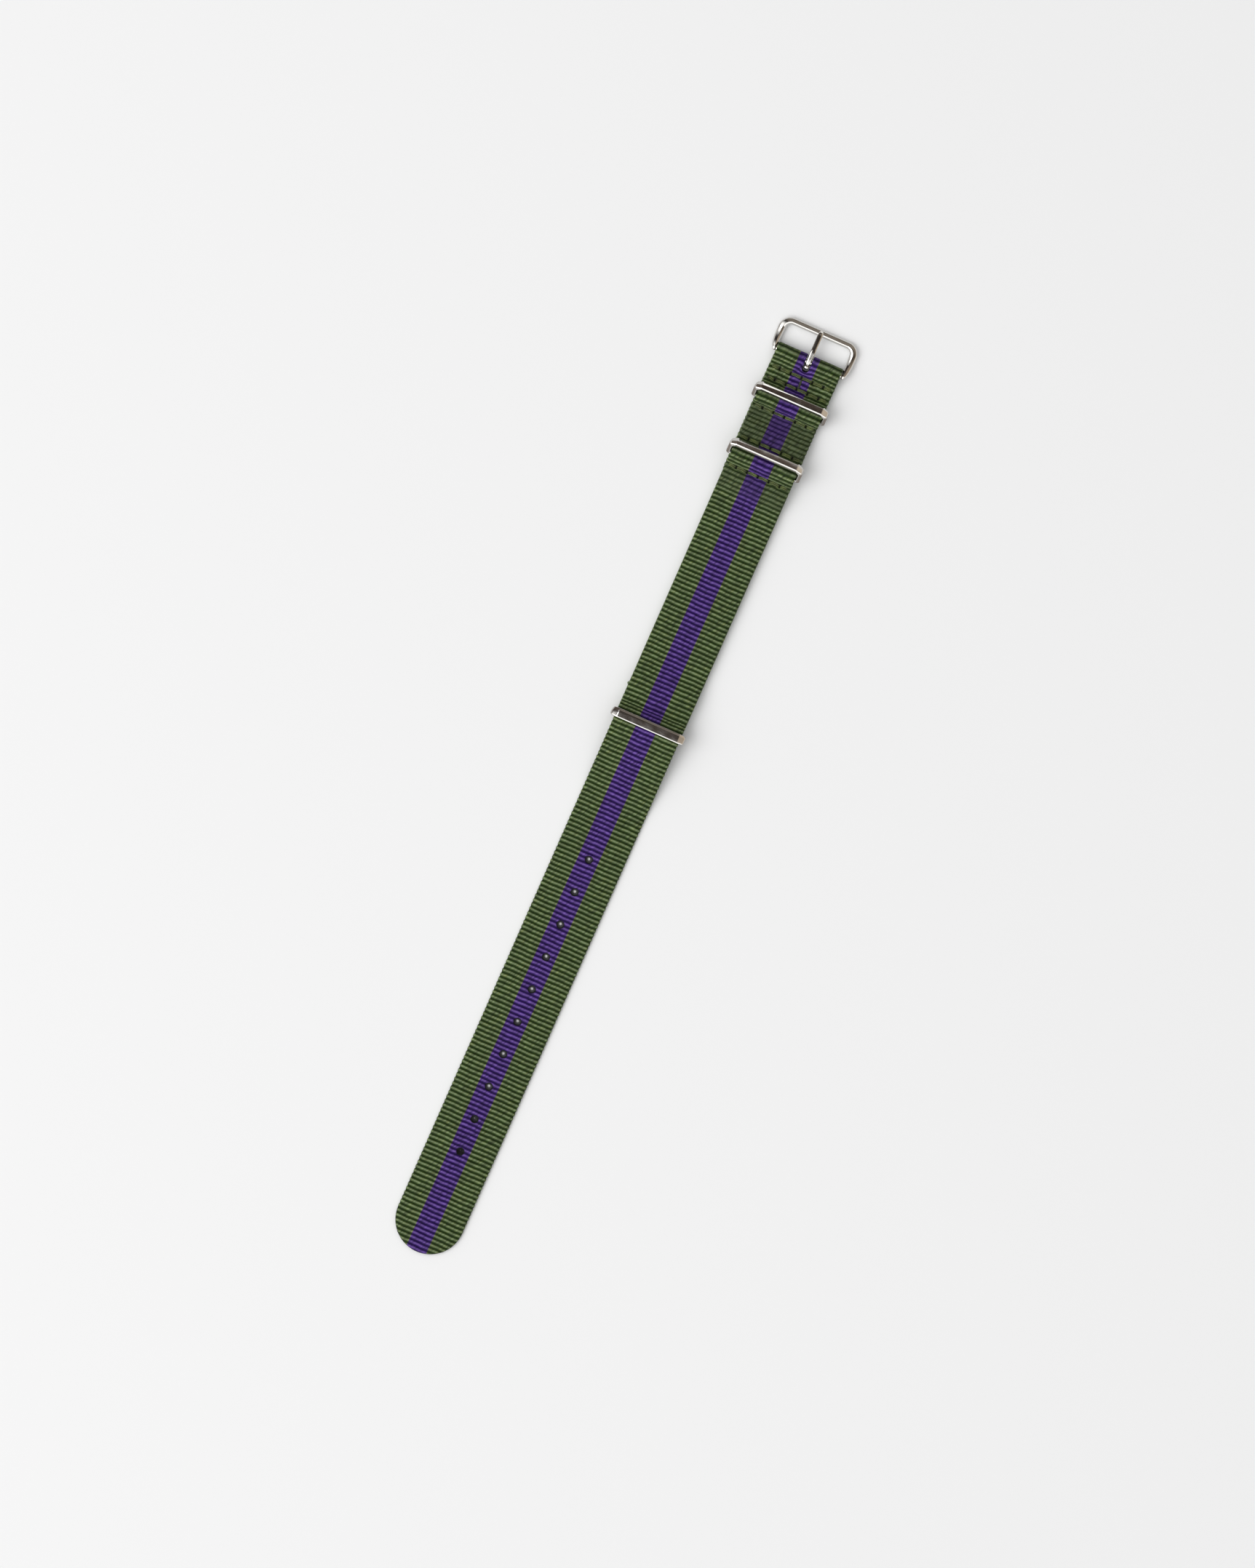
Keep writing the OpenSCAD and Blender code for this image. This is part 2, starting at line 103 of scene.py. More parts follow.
def run(h, r, foot, a):
    """How far a slope of angle a reaches while it falls by h: its two bends, and the flank between them."""
    a = math.radians(a)
    flank = (h - (r + foot) * (1 - math.cos(a))) / math.sin(a)
    return (r + foot) * math.sin(a) + flank * math.cos(a)


def climb(bar, r, h, foot, a):
    """A foot bend up to angle a, then the crest bend about the bar, up to its top."""
    low = (bar[0] - run(h, r, foot, a), bar[1] + r - h + foot)
    return np.vstack([bend(low, foot, -90, -90 + a), bend(bar, r, 90 + a, 90)])


def descend(bar, r, h, foot, a):
    """The crest bend about the bar, then a foot bend that ends level."""
    low = (bar[0] + run(h, r, foot, a), bar[1] + r - h + foot)
    return np.vstack([bend(bar, r, 90, 90 - a), bend(low, foot, -90 - a, -90)])


def laid(*parts):
    """Joins the parts of a side profile and samples it at even lengths, as rows of length, place, height,
    heading and curve. The heading is the slope's angle, evened out over seven samples."""
    p = np.vstack(parts)
    p = p[np.insert(np.hypot(*np.diff(p, axis=0).T) > 1e-6, 0, True)]
    s = np.insert(np.cumsum(np.hypot(*np.diff(p, axis=0).T)), 0, 0)
    at = np.linspace(0, s[-1], int(s[-1] / 0.05) + 1)
    y = np.interp(at, s, p[:, 0])
    z = np.interp(at, s, p[:, 1])
    heading = np.unwrap(np.arctan2(np.gradient(z), np.gradient(y)))
    even = np.ones(7) / 7
    heading = np.convolve(np.pad(heading, 3, mode="edge"), even, "valid")
    return np.stack([at, y, z, heading, np.gradient(heading, at)])


long_path = laid(
    [[tail_y, level[0]]],
    climb(flap_bar, ride_r, flap_bar[1] + ride_r - level[0], 35, 12),
    descend(flap_bar, ride_r, flap_bar[1] + ride_r - over_fold, foot_r + 0.35, 45),
    ease(flap_end_y + 0.5, over_fold, flap_end_y + 8.5, over_flap),
    ease(fold_back_y - 6.1, over_flap, fold_back_y - 0.5, level[2]),
    climb(middle_bar, hump_r, hump_h, foot_r, 45),
    descend(middle_bar, hump_r, hump_h, foot_r, 45),
    ease(flap_start_y + 0.5, level[2], flap_start_y + 6.1, level[1]),
    climb(front_bar, hump_r, hump_h, foot_r, 65),
    descend(front_bar, hump_r, hump_h, foot_r, 35),
    ease(pin[0] - 4.35, level[1], pin[0], pin[1] + pin_fold_r),
    bend(pin, pin_fold_r, 90, -90),
    ease(flap_start_y + 4.7, level[0], flap_start_y + 0.5, level[1]),
    [[fold_back_y, level[1]]],
)


def length_at(path, y, back=False):
    """The length along a path at which it passes y, on the pass towards the buckle or on the pass back."""
    forward = np.cos(path[3]) > 0
    miss = np.where(forward != back, np.abs(path[1] - y), np.inf)
    return path[0][np.argmin(miss)]


# Weaving: a thick weft lifts a rib every 1.365 mm, crest to crest, and the edge bulges out at each one.
# Cut ends and holes are sealed with a hot knife, which melts the nylon into a dark, rounded rim.
rib_pitch = 1.365
rib_h = 0.27
edge_r = 0.42
hole_r = 1.1
slot_half = 0.94
stitch_pitch = 3.4
needle_xs = np.array([-9.4, -6.8, -3.4, 0, 3.4, 6.8, 9.4])
seam_groove = 0.34
needle_dip = 0.26
tack_groove = 0.36
tack_x = 0.3

# The grid's columns lie closest at the slot, the holes, the needle holes and the edges
right_columns = [0.36, 0.66, 0.94, 1.1, 1.3, 1.7, 2.3, 3.05, 3.4, 3.75, 4.1, 5.3, 6.45, 6.8, 7.15, 8.3]
edge_columns = [edge_r, 0.2, 0.05, 0]
columns = np.array(right_columns + [half_w - e for e in edge_columns])
columns = np.concatenate([-columns[::-1], [0], columns])


def rows_of(length, must):
    """Row places: five on each rib, from its valley over its crest, which give way to the places that must be
    met, such as the edges of seams, holes and cut ends."""
    count = int(length / rib_pitch)
    may = ((np.arange(count + 1)[:, None] + [0, 0.15, 0.38, 0.62, 0.85]) * rib_pitch).ravel()
    must = np.unique(np.round(np.concatenate([edge_columns, length - np.array(edge_columns), must]), 4))
    near = np.abs(may[:, None] - must[None]).min(1)
    return np.sort(np.concatenate([may[(near > 0.08) & (may < length - 0.1)], must]))


def rounded_square(x, s, centre, half, reach, side=0):
    """Pulls square rings of points about a centre onto circles of the same half width. Further out they move
    less, by three times a share squared less two times it cubed. With a side of 1 or -1 only the points
    beyond the centre on that side move, which rounds a slot's end."""
    dx, ds = x, s - centre
    square = np.maximum(np.abs(dx), np.abs(ds))
    circle = np.maximum(np.hypot(dx, ds), 1e-9)
    share = np.clip((reach - square) / (reach - half), 0, 1)
    share = share * share * (3 - 2 * share) * (ds * side >= 0)
    k = 1 + share * (square / circle - 1)
    return dx * k, centre + ds * k


def swell(phase):
    """The rib's height from 0 in the valley to 1 on the crest: the 0.85th power of a half sine wave."""
    return np.abs(np.sin(np.pi * phase)) ** 0.85


def skin(name, points, *faces, uv=None, **marks):
    """Makes a mesh of quads and triangles, turned so that its signed volume, the sum of its faces' box
    products, is positive. uv and marks are per point: a map of two coordinates, and named values."""
    used, index = np.unique(np.concatenate([f.ravel() for f in faces]), return_inverse=True)
    cuts = np.cumsum([f.size for f in faces])[:-1]
    faces = [part.reshape(-1, f.shape[1]) for part, f in zip(np.split(index, cuts), faces)]
    points = points.reshape(-1, 3)[used] * mm
    volume = 0
    for f in faces:
        for k in range(1, f.shape[1] - 1):
            a, b, c = points[f[:, 0]], points[f[:, k]], points[f[:, k + 1]]
            volume += np.einsum("ij,ij->", a, np.cross(b, c))
    if volume < 0:
        faces = [f[:, ::-1] for f in faces]
    corners = np.concatenate([f.ravel() for f in faces]).astype(np.int32)
    sizes = np.concatenate([np.full(len(f), f.shape[1]) for f in faces])
    mesh = bpy.data.meshes.new(name)
    mesh.vertices.add(len(points))
    mesh.vertices.foreach_set("co", points.astype(np.float32).ravel())
    mesh.loops.add(len(corners))
    mesh.loops.foreach_set("vertex_index", corners)
    mesh.polygons.add(len(sizes))
    mesh.polygons.foreach_set("loop_start", (np.cumsum(sizes) - sizes).astype(np.int32))
    mesh.update(calc_edges=True)
    if uv is not None:
        layer = mesh.uv_layers.new(name="UVMap")
        layer.data.foreach_set("uv", uv.reshape(-1, 2)[used][corners].astype(np.float32).ravel())
    for mark, values in marks.items():
        attribute = mesh.attributes.new(mark, "FLOAT", "POINT")
        attribute.data.foreach_set("value", values.ravel()[used].astype(np.float32))
    mesh.shade_smooth()
    mesh.set_sharp_from_angle(angle=math.radians(55))
    piece = bpy.data.objects.new(name, mesh)
    bpy.context.scene.collection.objects.link(piece)
    return piece


def weave(name, path, seams, pressed, holes=(), slot=None, tip=False, tack=None, nub=False, shift=0):
    """A length of webbing: two sheets of points over one grid of rows and columns, each off the path by half
    the thickness less the ribs' valleys and the seams' grooves, which meet at the edges in a half circle.
    holes lists each hole's place and its lip, and pressed where the ribs lie flatter: from, to and how much.
    The hot needle leaves the lip of melted nylon low in the hole: a ring at three quarters of the wall's
    depth, drawn in to that share of its radius and moved aside, the more the further it is drawn in.
    tip rounds the first end, tack lists the tacks' grooves, nub pushes out a bit of the first end's melted
    corner, and shift moves the pass under the fold sideways."""
    length = path[0][-1]
    must = [s + d for s, _ in seams for d in (-0.62, -0.46, -0.3, 0, 0.3, 0.46, 0.62)]
    must += [s + d for s, _ in holes for d in (-1.7, -1.3, -hole_r, hole_r, 1.3, 1.7)]
    if slot:
        must += [slot[0] + d for d in (-0.4, -0.2, 0)] + [slot[1] + d for d in (0, 0.2, 0.4)]
    rows = rows_of(length, must)
    s, x = np.meshgrid(rows, columns, indexing="ij")
    rim = np.full(s.shape, 9.0)
    blocks = []
    for hole, lip in holes:
        x, s = rounded_square(x, s, hole, hole_r, 2.0)
        rim = np.minimum(rim, np.hypot(x, s - hole) - hole_r)
        blocks.append((hole - hole_r, hole + hole_r, hole_r, lip))
    if slot:
        for centre, side in ((slot[0] + slot_half, -1), (slot[1] - slot_half, 1)):
            x, s = rounded_square(x, s, centre, slot_half, 2.3, side)
        past = np.maximum(np.maximum(slot[0] + slot_half - s, s - slot[1] + slot_half), 0)
        rim = np.minimum(rim, np.hypot(x, past) - slot_half)
        blocks.append((slot[0], slot[1], slot_half, 1))
    end = np.minimum(s, length - s)
    if tip:
        ahead = np.maximum(half_w - s, 0)
        square = np.maximum(np.maximum(np.abs(x), ahead), 1e-9)
        k = 1 + (square / half_w) ** 3 * (square / np.maximum(np.hypot(x, ahead), 1e-9) - 1)
        x = np.where(ahead > 0, x * k, x)
        s = np.where(ahead > 0, half_w - ahead * k, s)
        end = np.where(s < half_w, half_w - np.hypot(x, np.maximum(half_w - s, 0)), length - s)
    cut = np.maximum(np.minimum(end, rim), 0)
    side = half_w - np.abs(x)
    near = np.clip(np.stack([side, end]) / edge_r, 0, 1)
    full = np.sqrt(1 - (1 - near) ** 2).min(0) if tip else np.sqrt(1 - (1 - near) ** 2).prod(0)
    full *= 1 - 0.35 * (1 - np.clip(rim / 0.3, 0, 1)) ** 2

    y_at, z_at, heading, curve = (np.interp(s, path[0], values) for values in path[1:])
    apart = np.array([s - at for at, _ in seams]) if seams else np.full((1,) + s.shape, 9.0)
    seam = np.take_along_axis(apart, np.abs(apart).argmin(0)[None], 0)[0]
    # The ribs waver a little, are drawn towards each stitch, and bow back from the slot's end by a bell curve
    phase = s / rib_pitch + 0.035 * np.sin(0.9 * x + 0.13 * s) + 0.02 * np.sin(2.3 * x - 0.41 * s)
    pulled = 0.13 * np.cos(2 * np.pi * x / stitch_pitch) * np.exp(-(seam / 1.3) ** 2) * np.tanh(seam / 0.4)
    phase = phase - pulled
    if slot:
        before = max(at for at, _ in seams if at < slot[0])
        share = np.clip(np.minimum((s - before) / (slot[0] - before), (slot[0] + 4 - s) / 4), 0, 1)
        phase = phase + 0.7 * np.exp(-(x / 1.3) ** 2) * share * share * (3 - 2 * share)
    flat = np.zeros(s.shape)
    for low, high, much in pressed:
        flat += much * (np.tanh((s - low) / 0.7) + np.tanh((high - s) / 0.7)) / 2
    open_ribs = 1 + 0.9 * np.clip(-curve, -0.35, 0.4)
    valley = rib_h * (1 - 0.45 * flat) * (1 - swell(phase))
    to_needle = np.abs(x[..., None] - needle_xs).min(-1)

    sheets = []
    for face in (1, -1):
        groove = np.zeros(s.shape)
        for (at, on), d in zip(seams, apart):
            if on == face:
                trench = seam_groove * np.exp(-(d / 0.5) ** 6)
                dip = needle_dip * np.exp(-(to_needle ** 2 + d * d) / 0.3 ** 2)
                groove = np.maximum(groove, trench + dip)
        if tack and face == 1:
            for low, high in tack:
                sunk = tack_groove * np.exp(-((x - tack_x) / 0.36) ** 2)
                groove = np.maximum(groove, sunk * (s > low) * (s < high))
        inner = np.clip(-curve / 0.4, 0, 1) * (face == -1)
        ribs_here = valley * (open_ribs if face == 1 else 1 - 0.6 * inner)
        d = web_t / 2 - 0.07 * inner - ribs_here * (1 - np.clip(groove / seam_groove, 0, 1)) - groove
        sheets.append(face * d * full)
    bulge = 0.24 * (swell(phase) - 0.55) * np.clip((np.abs(x) - half_w + 1.2) / 1.2, 0, 1) ** 2
    bulge = bulge * np.clip(end / edge_r, 0, 1)
    x_out = x + np.sign(x) * bulge
    x_out = x_out + shift * np.clip((s - length_at(path, pin[0], True) - 1) / 12, 0, 1) if shift else x_out
    if nub:
        x_out = x_out - 0.4 * np.exp(-((s - 0.7) / 0.5) ** 2) * np.clip(-x - 9, 0, 1)
    sheets = [np.stack([x_out, y_at - d * np.sin(heading), z_at + d * np.cos(heading)], -1) for d in sheets]
    points = np.concatenate([v.reshape(-1, 3) for v in sheets])

    # A hole's block of faces gives way to a wall, from the upper sheet's ring over the lip to the lower one's
    upper = np.arange(s.size).reshape(s.shape)
    lower = upper + s.size
    lower[[0, -1]] = upper[[0, -1]]
    lower[:, [0, -1]] = upper[:, [0, -1]]
    keep = np.ones((len(rows) - 1, len(columns) - 1), bool)
    walls, lips, of_lip, depth = [], [points], [np.arange(len(points))], [np.zeros(len(points))]
    count = len(points)
    for low, high, half, lip in blocks:
        j0, j1 = (int(np.abs(rows - v).argmin()) for v in (low, high))
        i0, i1 = (int(np.abs(columns - v).argmin()) for v in (-half, half))
        keep[j0:j1, i0:i1] = False
        loops = []
        for sheet in (upper, lower):
            ring = [sheet[j0, i0:i1], sheet[j0:j1, i1], sheet[j1, i1:i0:-1], sheet[j1:j0:-1, i0]]
            loops.append(np.concatenate(ring))
        around = 0.25 * points[loops[0]] + 0.75 * points[loops[1]]
        loops.insert(1, count + np.arange(len(around)))
        count += len(around)
        aside = (1 - lip) * np.array([-0.18, 0.3, 0])
        lips.append(around.mean(0) + aside + lip * (around - around.mean(0)))
        of_lip.append(loops[0])
        # The lip's depth mark paints it greyer the more open it is, as painted light; the slot's lip stays
        # dark
        depth.append(np.full(len(around), 2.8 * lip * (1 - lip)))
        for top, bottom in zip(loops, loops[1:]):
            walls.append(np.stack([top, np.roll(top, -1), np.roll(bottom, -1), bottom], 1))
    quads = [
        np.stack([g[:-1, :-1], g[:-1, 1:], g[1:, 1:], g[1:, :-1]], -1)[keep] for g in (upper, lower)
    ]
    quads[1] = quads[1][:, ::-1]
    spread = lambda values: np.concatenate([values.ravel(), values.ravel()])[np.concatenate(of_lip)]
    return skin(
        name, np.vstack(lips), np.vstack(quads + walls), uv=np.stack([spread(x), spread(phase)], -1),
        seam=spread(seam), cut=spread(cut) - np.concatenate(depth), flat=spread(flat),
    )


def linear(code):
    """The linear colour of an sRGB hex code: a share over 12.92 below 0.04045, and a 2.4th power above."""
    v = np.array([int(code[i:i + 2], 16) / 255 for i in (0, 2, 4)])
    return (*np.where(v <= 0.04045, v / 12.92, ((v + 0.055) / 1.055) ** 2.4), 1)


def add(tree, kind, inputs=(), stops=(), **settings):
    """Adds a shader node with its settings and colour stops. Each input, by name or number, is set to a
    value, or linked to a socket or to another node's first output."""
    node = tree.nodes.new("ShaderNode" + kind)
    for key, value in settings.items():
        setattr(node, key, value)
    for k, (place, code) in enumerate(stops):
        band = node.color_ramp.elements
        stop = band[k] if k < 2 else band.new(1)
        stop.position = place
        stop.color = linear(code)
    for key, value in dict(inputs).items():
        if isinstance(value, bpy.types.Node):
            value = value.outputs[0]
        if isinstance(value, bpy.types.NodeSocket):
            tree.links.new(value, node.inputs[key])
        else:
            node.inputs[key].default_value = value
    return node


def calc(tree, operation, *terms):
    """Adds a node that does one sum with its terms."""
    return add(tree, "Math", enumerate(terms), operation=operation)


def blend(tree, share, low, high, how="MIX"):
    """Adds a node that blends two colours by a share, and returns its colour."""
    return add(tree, "Mix", {0: share, 6: low, 7: high}, data_type="RGBA", blend_type=how).outputs[2]


def new_material(name):
    """A node material with nothing in it yet, and its tree."""
    material = bpy.data.materials.new(name)
    material.use_nodes = True
    material.node_tree.nodes.clear()
    return material, material.node_tree


def fit(piece, material, body, node):
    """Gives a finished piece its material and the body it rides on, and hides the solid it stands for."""
    piece.data.materials.append(material)
    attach(piece, body)
    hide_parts(node)


def woven_nylon():
    """Solution-dyed nylon, woven: the warp's threads lean over each rib, and no two are alike in tone. Each
    rib is painted lighter on its crest and darker in its valley, as painted highlight and painted shade, and
    each thread is painted lighter along its middle as painted highlight. They are drawn 0.2 mm wide, a little
    coarser than they are, so that they show. The stripe's threads are purple, the others green, and every
    fifth one leans to olive. Where the ribs are marked pressed flat, the colour is darker and the painted
    valleys are narrower."""
    material, tree = new_material("woven_nylon_webbing")
    thread_w = 0.2
    stripe_half, stripe_x = 3.06, -0.18
    uv = add(tree, "UVMap", uv_map="UVMap")
    across, along, _ = add(tree, "SeparateXYZ", {0: uv}).outputs
    turn = calc(tree, "MULTIPLY", along, math.pi)
    wave = calc(tree, "SINE", turn)
    wave = calc(tree, "ABSOLUTE", wave)
    flat = add(tree, "Attribute", attribute_name="flat").outputs["Fac"]
    power = calc(tree, "MULTIPLY_ADD", flat, -1.3, 1.6)
    tone = calc(tree, "POWER", wave, power)
    in_rib = calc(tree, "FRACT", along)
    lean = calc(tree, "MULTIPLY_ADD", in_rib, -0.7, across)
    count = calc(tree, "DIVIDE", lean, thread_w)
    warp = calc(tree, "FLOOR", count)
    round_turn = calc(tree, "MULTIPLY", count, math.pi)
    thread_crown_bump_and_highlight = calc(tree, "SINE", round_turn)
    thread_crown_bump_and_highlight = calc(tree, "ABSOLUTE", thread_crown_bump_and_highlight)
    rib = calc(tree, "FLOOR", along)
    cell = add(tree, "CombineXYZ", {0: warp, 1: rib})
    luck, chance = add(tree, "TexWhiteNoise", {0: cell}, noise_dimensions="3D").outputs
    hue = add(tree, "SeparateColor", {0: chance}).outputs[2]
    # The ramps paint each rib dark in its valley as painted shade, and light on its crest as painted
    # highlight
    green = [(0.0, "162804"), (0.3, "25390D"), (0.7, "53633A"), (1.0, "7F8E69")]
    green = add(tree, "ValToRGB", {0: tone}, green)
    olive = [(0.0, "212B08"), (0.3, "3A440F"), (0.7, "6C7435"), (1.0, "9BA168")]
    olive = add(tree, "ValToRGB", {0: tone}, olive)
    purple = [(0.0, "190438"), (0.3, "290E58"), (0.7, "4E337E"), (1.0, "7459A3")]
    purple = add(tree, "ValToRGB", {0: tone}, purple)
    rare = add(tree, "MapRange", {0: hue, 1: 0.8, 2: 1.0, 4: 0.5})
    green = blend(tree, rare, green, olive)
    past = calc(tree, "SUBTRACT", across, stripe_x)
    past = calc(tree, "ABSOLUTE", past)
    edges = {0: past, 1: stripe_half - 0.06, 2: stripe_half + 0.06, 3: 1.0, 4: 0.0}
    striped = add(tree, "MapRange", edges)
    border = calc(tree, "COMPARE", past, stripe_half + 0.14, 0.16)
    border = calc(tree, "MULTIPLY", border, 0.55)
    green = blend(tree, border, green, olive)
    base = blend(tree, striped, green, purple)
    mottled = add(tree, "TexNoise", {"Vector": uv, "Scale": 0.9, "Detail": 3.0})
    # Each thread is painted lighter along its middle as painted highlight, and its tone varies at random
    shade = calc(tree, "MULTIPLY_ADD", thread_crown_bump_and_highlight, 1.1, -0.35)
    shade = calc(tree, "MULTIPLY_ADD", luck, 1.05, shade)
    shade = calc(tree, "MULTIPLY_ADD", mottled, 0.5, shade)
    dimmer = calc(tree, "MULTIPLY_ADD", flat, -0.47, 0.76)
    shade = calc(tree, "MULTIPLY", shade, dimmer)
    shade = add(tree, "CombineColor", {0: shade, 1: shade, 2: shade})
    base = blend(tree, 1.0, base, shade, "MULTIPLY")

    # A dot of painted shade where each stitch dives into its needle hole, and a melted rim at each cut,
    # painted greyer on the lips as painted light
    seam = add(tree, "Attribute", attribute_name="seam").outputs["Fac"]
    ping = calc(tree, "PINGPONG", across, stitch_pitch)
    ping = calc(tree, "PINGPONG", ping, stitch_pitch / 2)
    off = add(tree, "CombineXYZ", {0: ping, 1: seam})
    off = add(tree, "VectorMath", {0: off}, operation="LENGTH").outputs["Value"]
    painted_needle_shade = add(tree, "MapRange", {0: off, 1: 0.4, 2: 0.7, 3: 0.97, 4: 0.0})
    beyond = calc(tree, "ABSOLUTE", across)
    beyond = add(tree, "MapRange", {0: beyond, 1: 9.2, 2: 9.6, 3: 1.0, 4: 0.0})
    painted_needle_shade = calc(tree, "MULTIPLY", painted_needle_shade, beyond)
    base = blend(tree, painted_needle_shade, base, linear("0C0F06"))
    cut = add(tree, "Attribute", attribute_name="cut").outputs["Fac"]
    melt = add(tree, "MapRange", {0: cut, 1: 0.03, 2: 0.16, 3: 1.0, 4: 0.0})
    # Down the hole's wall the melted rim is painted from soot to grey on the lip, as painted light
    inside = add(tree, "MapRange", {0: cut, 1: -0.08, 2: -0.58})
    soot, painted_lip_light = linear("121213"), linear("545356")
    melted = blend(tree, inside, soot, painted_lip_light)
    base = blend(tree, melt, base, melted)
    height = calc(tree, "MULTIPLY", thread_crown_bump_and_highlight, wave)
    height = calc(tree, "MULTIPLY_ADD", luck, 0.5, height)
    bump = add(tree, "Bump", {"Strength": 1.0, "Distance": 0.05 * mm, "Height": height})
    finish = {"Base Color": base, "Normal": bump, "Roughness": 0.55, "IOR": 1.53, "Specular IOR Level": 0.12}
    add(tree, "OutputMaterial", {"Surface": add(tree, "BsdfPrincipled", finish)})
    return material


def seam_at(path, row, back=False):
    """A seam's length along a path, on the pass towards the buckle or on the pass back."""
    return length_at(path, seam_y[row], back)


nylon = woven_nylon()
hole_low, hole_pitch = 31.3, 10.14
hole_lips = [0.05, 0.15] + [0.36] * 8
slot_reach, slot_reach_back = 3.05, 3.4
tack_gap = 0.9
long_strap = weave(
    "long_strap_webbing", long_path,
    [(seam_at(long_path, row), 1) for row in ("seam_5", "seam_4", "seam_3", "seam_2", "seam_1")]
    + [(seam_at(long_path, row, True), 1) for row in ("seam_1", "seam_2", "seam_3")],
    [
        (seam_at(long_path, "seam_4") - 0.2, seam_at(long_path, "seam_3") + 0.2, 0.8),
        (seam_at(long_path, "seam_5") - 7, seam_at(long_path, "seam_5") - 0.6, 0.6),
        (length_at(long_path, pin[0]) + 0.6, length_at(long_path, pin[0], True), 0.7),
    ],
    holes=[(hole_low + hole_pitch * k, lip) for k, lip in enumerate(hole_lips)],
    slot=[length_at(long_path, pin[0] - slot_reach), length_at(long_path, pin[0] - slot_reach_back, True)],
    tip=True,
    tack=[
        (seam_at(long_path, "seam_2") + tack_gap, seam_at(long_path, "seam_1") - tack_gap),
        (seam_at(long_path, "seam_1", True) + tack_gap, seam_at(long_path, "seam_2", True) - tack_gap),
    ],
    shift=-0.22,
)
fit(long_strap, nylon, "strap", "long_strap")

# The short strap is a second length of the same webbing, under the long one. Its far end is turned under
# round the flap keeper's bar and sewn down, and its near end is sewn to the long strap's two layers.
short_path = laid(
    [[flap_end_y, level[0]]],
    bend(flap_bar, hump_r, -90, -270),
    descend(flap_bar, hump_r, hump_h, foot_r, 45),
    ease(flap_end_y + 0.5, level[1], flap_end_y + 6.1, level[0]),
    [[flap_start_y, level[0]]],
)
short_seams = [
    (seam_at(short_path, "flap_seam", True), 1),
    (seam_at(short_path, "flap_seam"), 1),
    (seam_at(short_path, "seam_5"), -1),
    (seam_at(short_path, "seam_4"), -1),
]
short_strap = weave("short_strap_webbing", short_path, short_seams, [], nub=True)
fit(short_strap, nylon, "strap", "short_strap")

# The seams are sewn with doubled three-ply polyester thread. Each stitch lies in a groove that it pulls
# into the ribs, and dives at its ends into a needle hole, where it locks with the bobbin's thread.
thread_r = 0.21
ply_depth = 0.07
lay_length = 3.2
strand_apart = 0.24
tack_apart = 0.13
tack_reach = 0.25


def sewing_thread():
    """Olive polyester thread, twisted: a soft sheen on each ply, with each ply painted lighter on its crown
    as painted highlight and darker where the plies meet and where a stitch dives as painted shade, and duller
    stretches, about 2 mm apart, where it has been rubbed. The fibres are drawn 0.1 mm wide, coarser than they
    are, so that they show."""
    material, tree = new_material("twisted_polyester_thread")
    groove = add(tree, "Attribute", attribute_name="ply").outputs["Fac"]
    # The ply mark paints each ply light on its crown as painted highlight, and dark where plies meet and
    # where a stitch dives as painted shade
    colour = [(0.0, "0D1006"), (0.3, "262F0E"), (0.6, "48541F"), (1.0, "6E7B3D")]
    colour = add(tree, "ValToRGB", {0: groove}, colour)
    at = add(tree, "TexCoord").outputs["Object"]
    fuzz = add(tree, "TexNoise", {"Vector": at, "Scale": 9 / mm, "Detail": 2.0})
    worn = add(tree, "TexNoise", {"Vector": at, "Scale": 0.5 / mm, "Detail": 2.0})
    tone = add(tree, "MapRange", {0: worn, 1: 0.3, 2: 0.7, 3: 0.45, 4: 1.35})
    tone = add(tree, "CombineColor", {0: tone, 1: tone, 2: tone})
    colour = blend(tree, 1.0, colour, tone, "MULTIPLY")
    bump = add(tree, "Bump", {"Strength": 0.5, "Distance": 0.03 * mm, "Height": fuzz})
    finish = {"Base Color": colour, "Normal": bump, "Roughness": 0.5, "Sheen Weight": 0.1}
    add(tree, "OutputMaterial", {"Surface": add(tree, "BsdfPrincipled", finish)})
    return material


def ringed(rings, loop=False):
    """Faces for rings of points: quads from each ring to the next, and a fan to the middle of each end ring
    unless the rings form a loop. Returns the points, the quads and the fans."""
    n, m = rings.shape[:2]
    index = np.arange(n * m).reshape(n, m)
    after = np.roll(index, -1, 0) if loop else index[1:]
    here = index if loop else index[:-1]
    quads = np.stack([here, np.roll(here, -1, 1), np.roll(after, -1, 1), after], -1).reshape(-1, 4)
    points = rings.reshape(-1, 3)
    if loop:
        return points, quads, np.zeros((0, 3), int)
    points = np.vstack([points, rings[0].mean(0), rings[-1].mean(0)])
    first = np.stack([np.roll(index[0], -1), index[0], np.full(m, n * m)], -1)
    last = np.stack([index[-1], np.roll(index[-1], -1), np.full(m, n * m + 1)], -1)
    return points, quads, np.vstack([first, last])


def twisted(route, side):
    """A three-ply strand: round a route of points its radius swells three times a turn, and the pattern turns
    once in each lay length. side is a direction square to the route."""
    step = np.linalg.norm(np.diff(route, axis=0), axis=1)
    run_s = np.insert(np.cumsum(step), 0, 0)
    ahead = np.gradient(route, axis=0)
    ahead /= np.linalg.norm(ahead, axis=1)[:, None]
    over = np.cross(ahead, side)
    over /= np.linalg.norm(over, axis=1)[:, None]
    t = np.linspace(0, 2 * np.pi, 12, endpoint=False)
    ply = np.cos(3 * (t[None] - 2 * np.pi * run_s[:, None] / lay_length))
    r = thread_r * (1 + ply_depth * ply)[..., None]
    t = t[None, :, None]
    return route[:, None] + r * (np.cos(t) * side + np.sin(t) * over[:, None]), ply


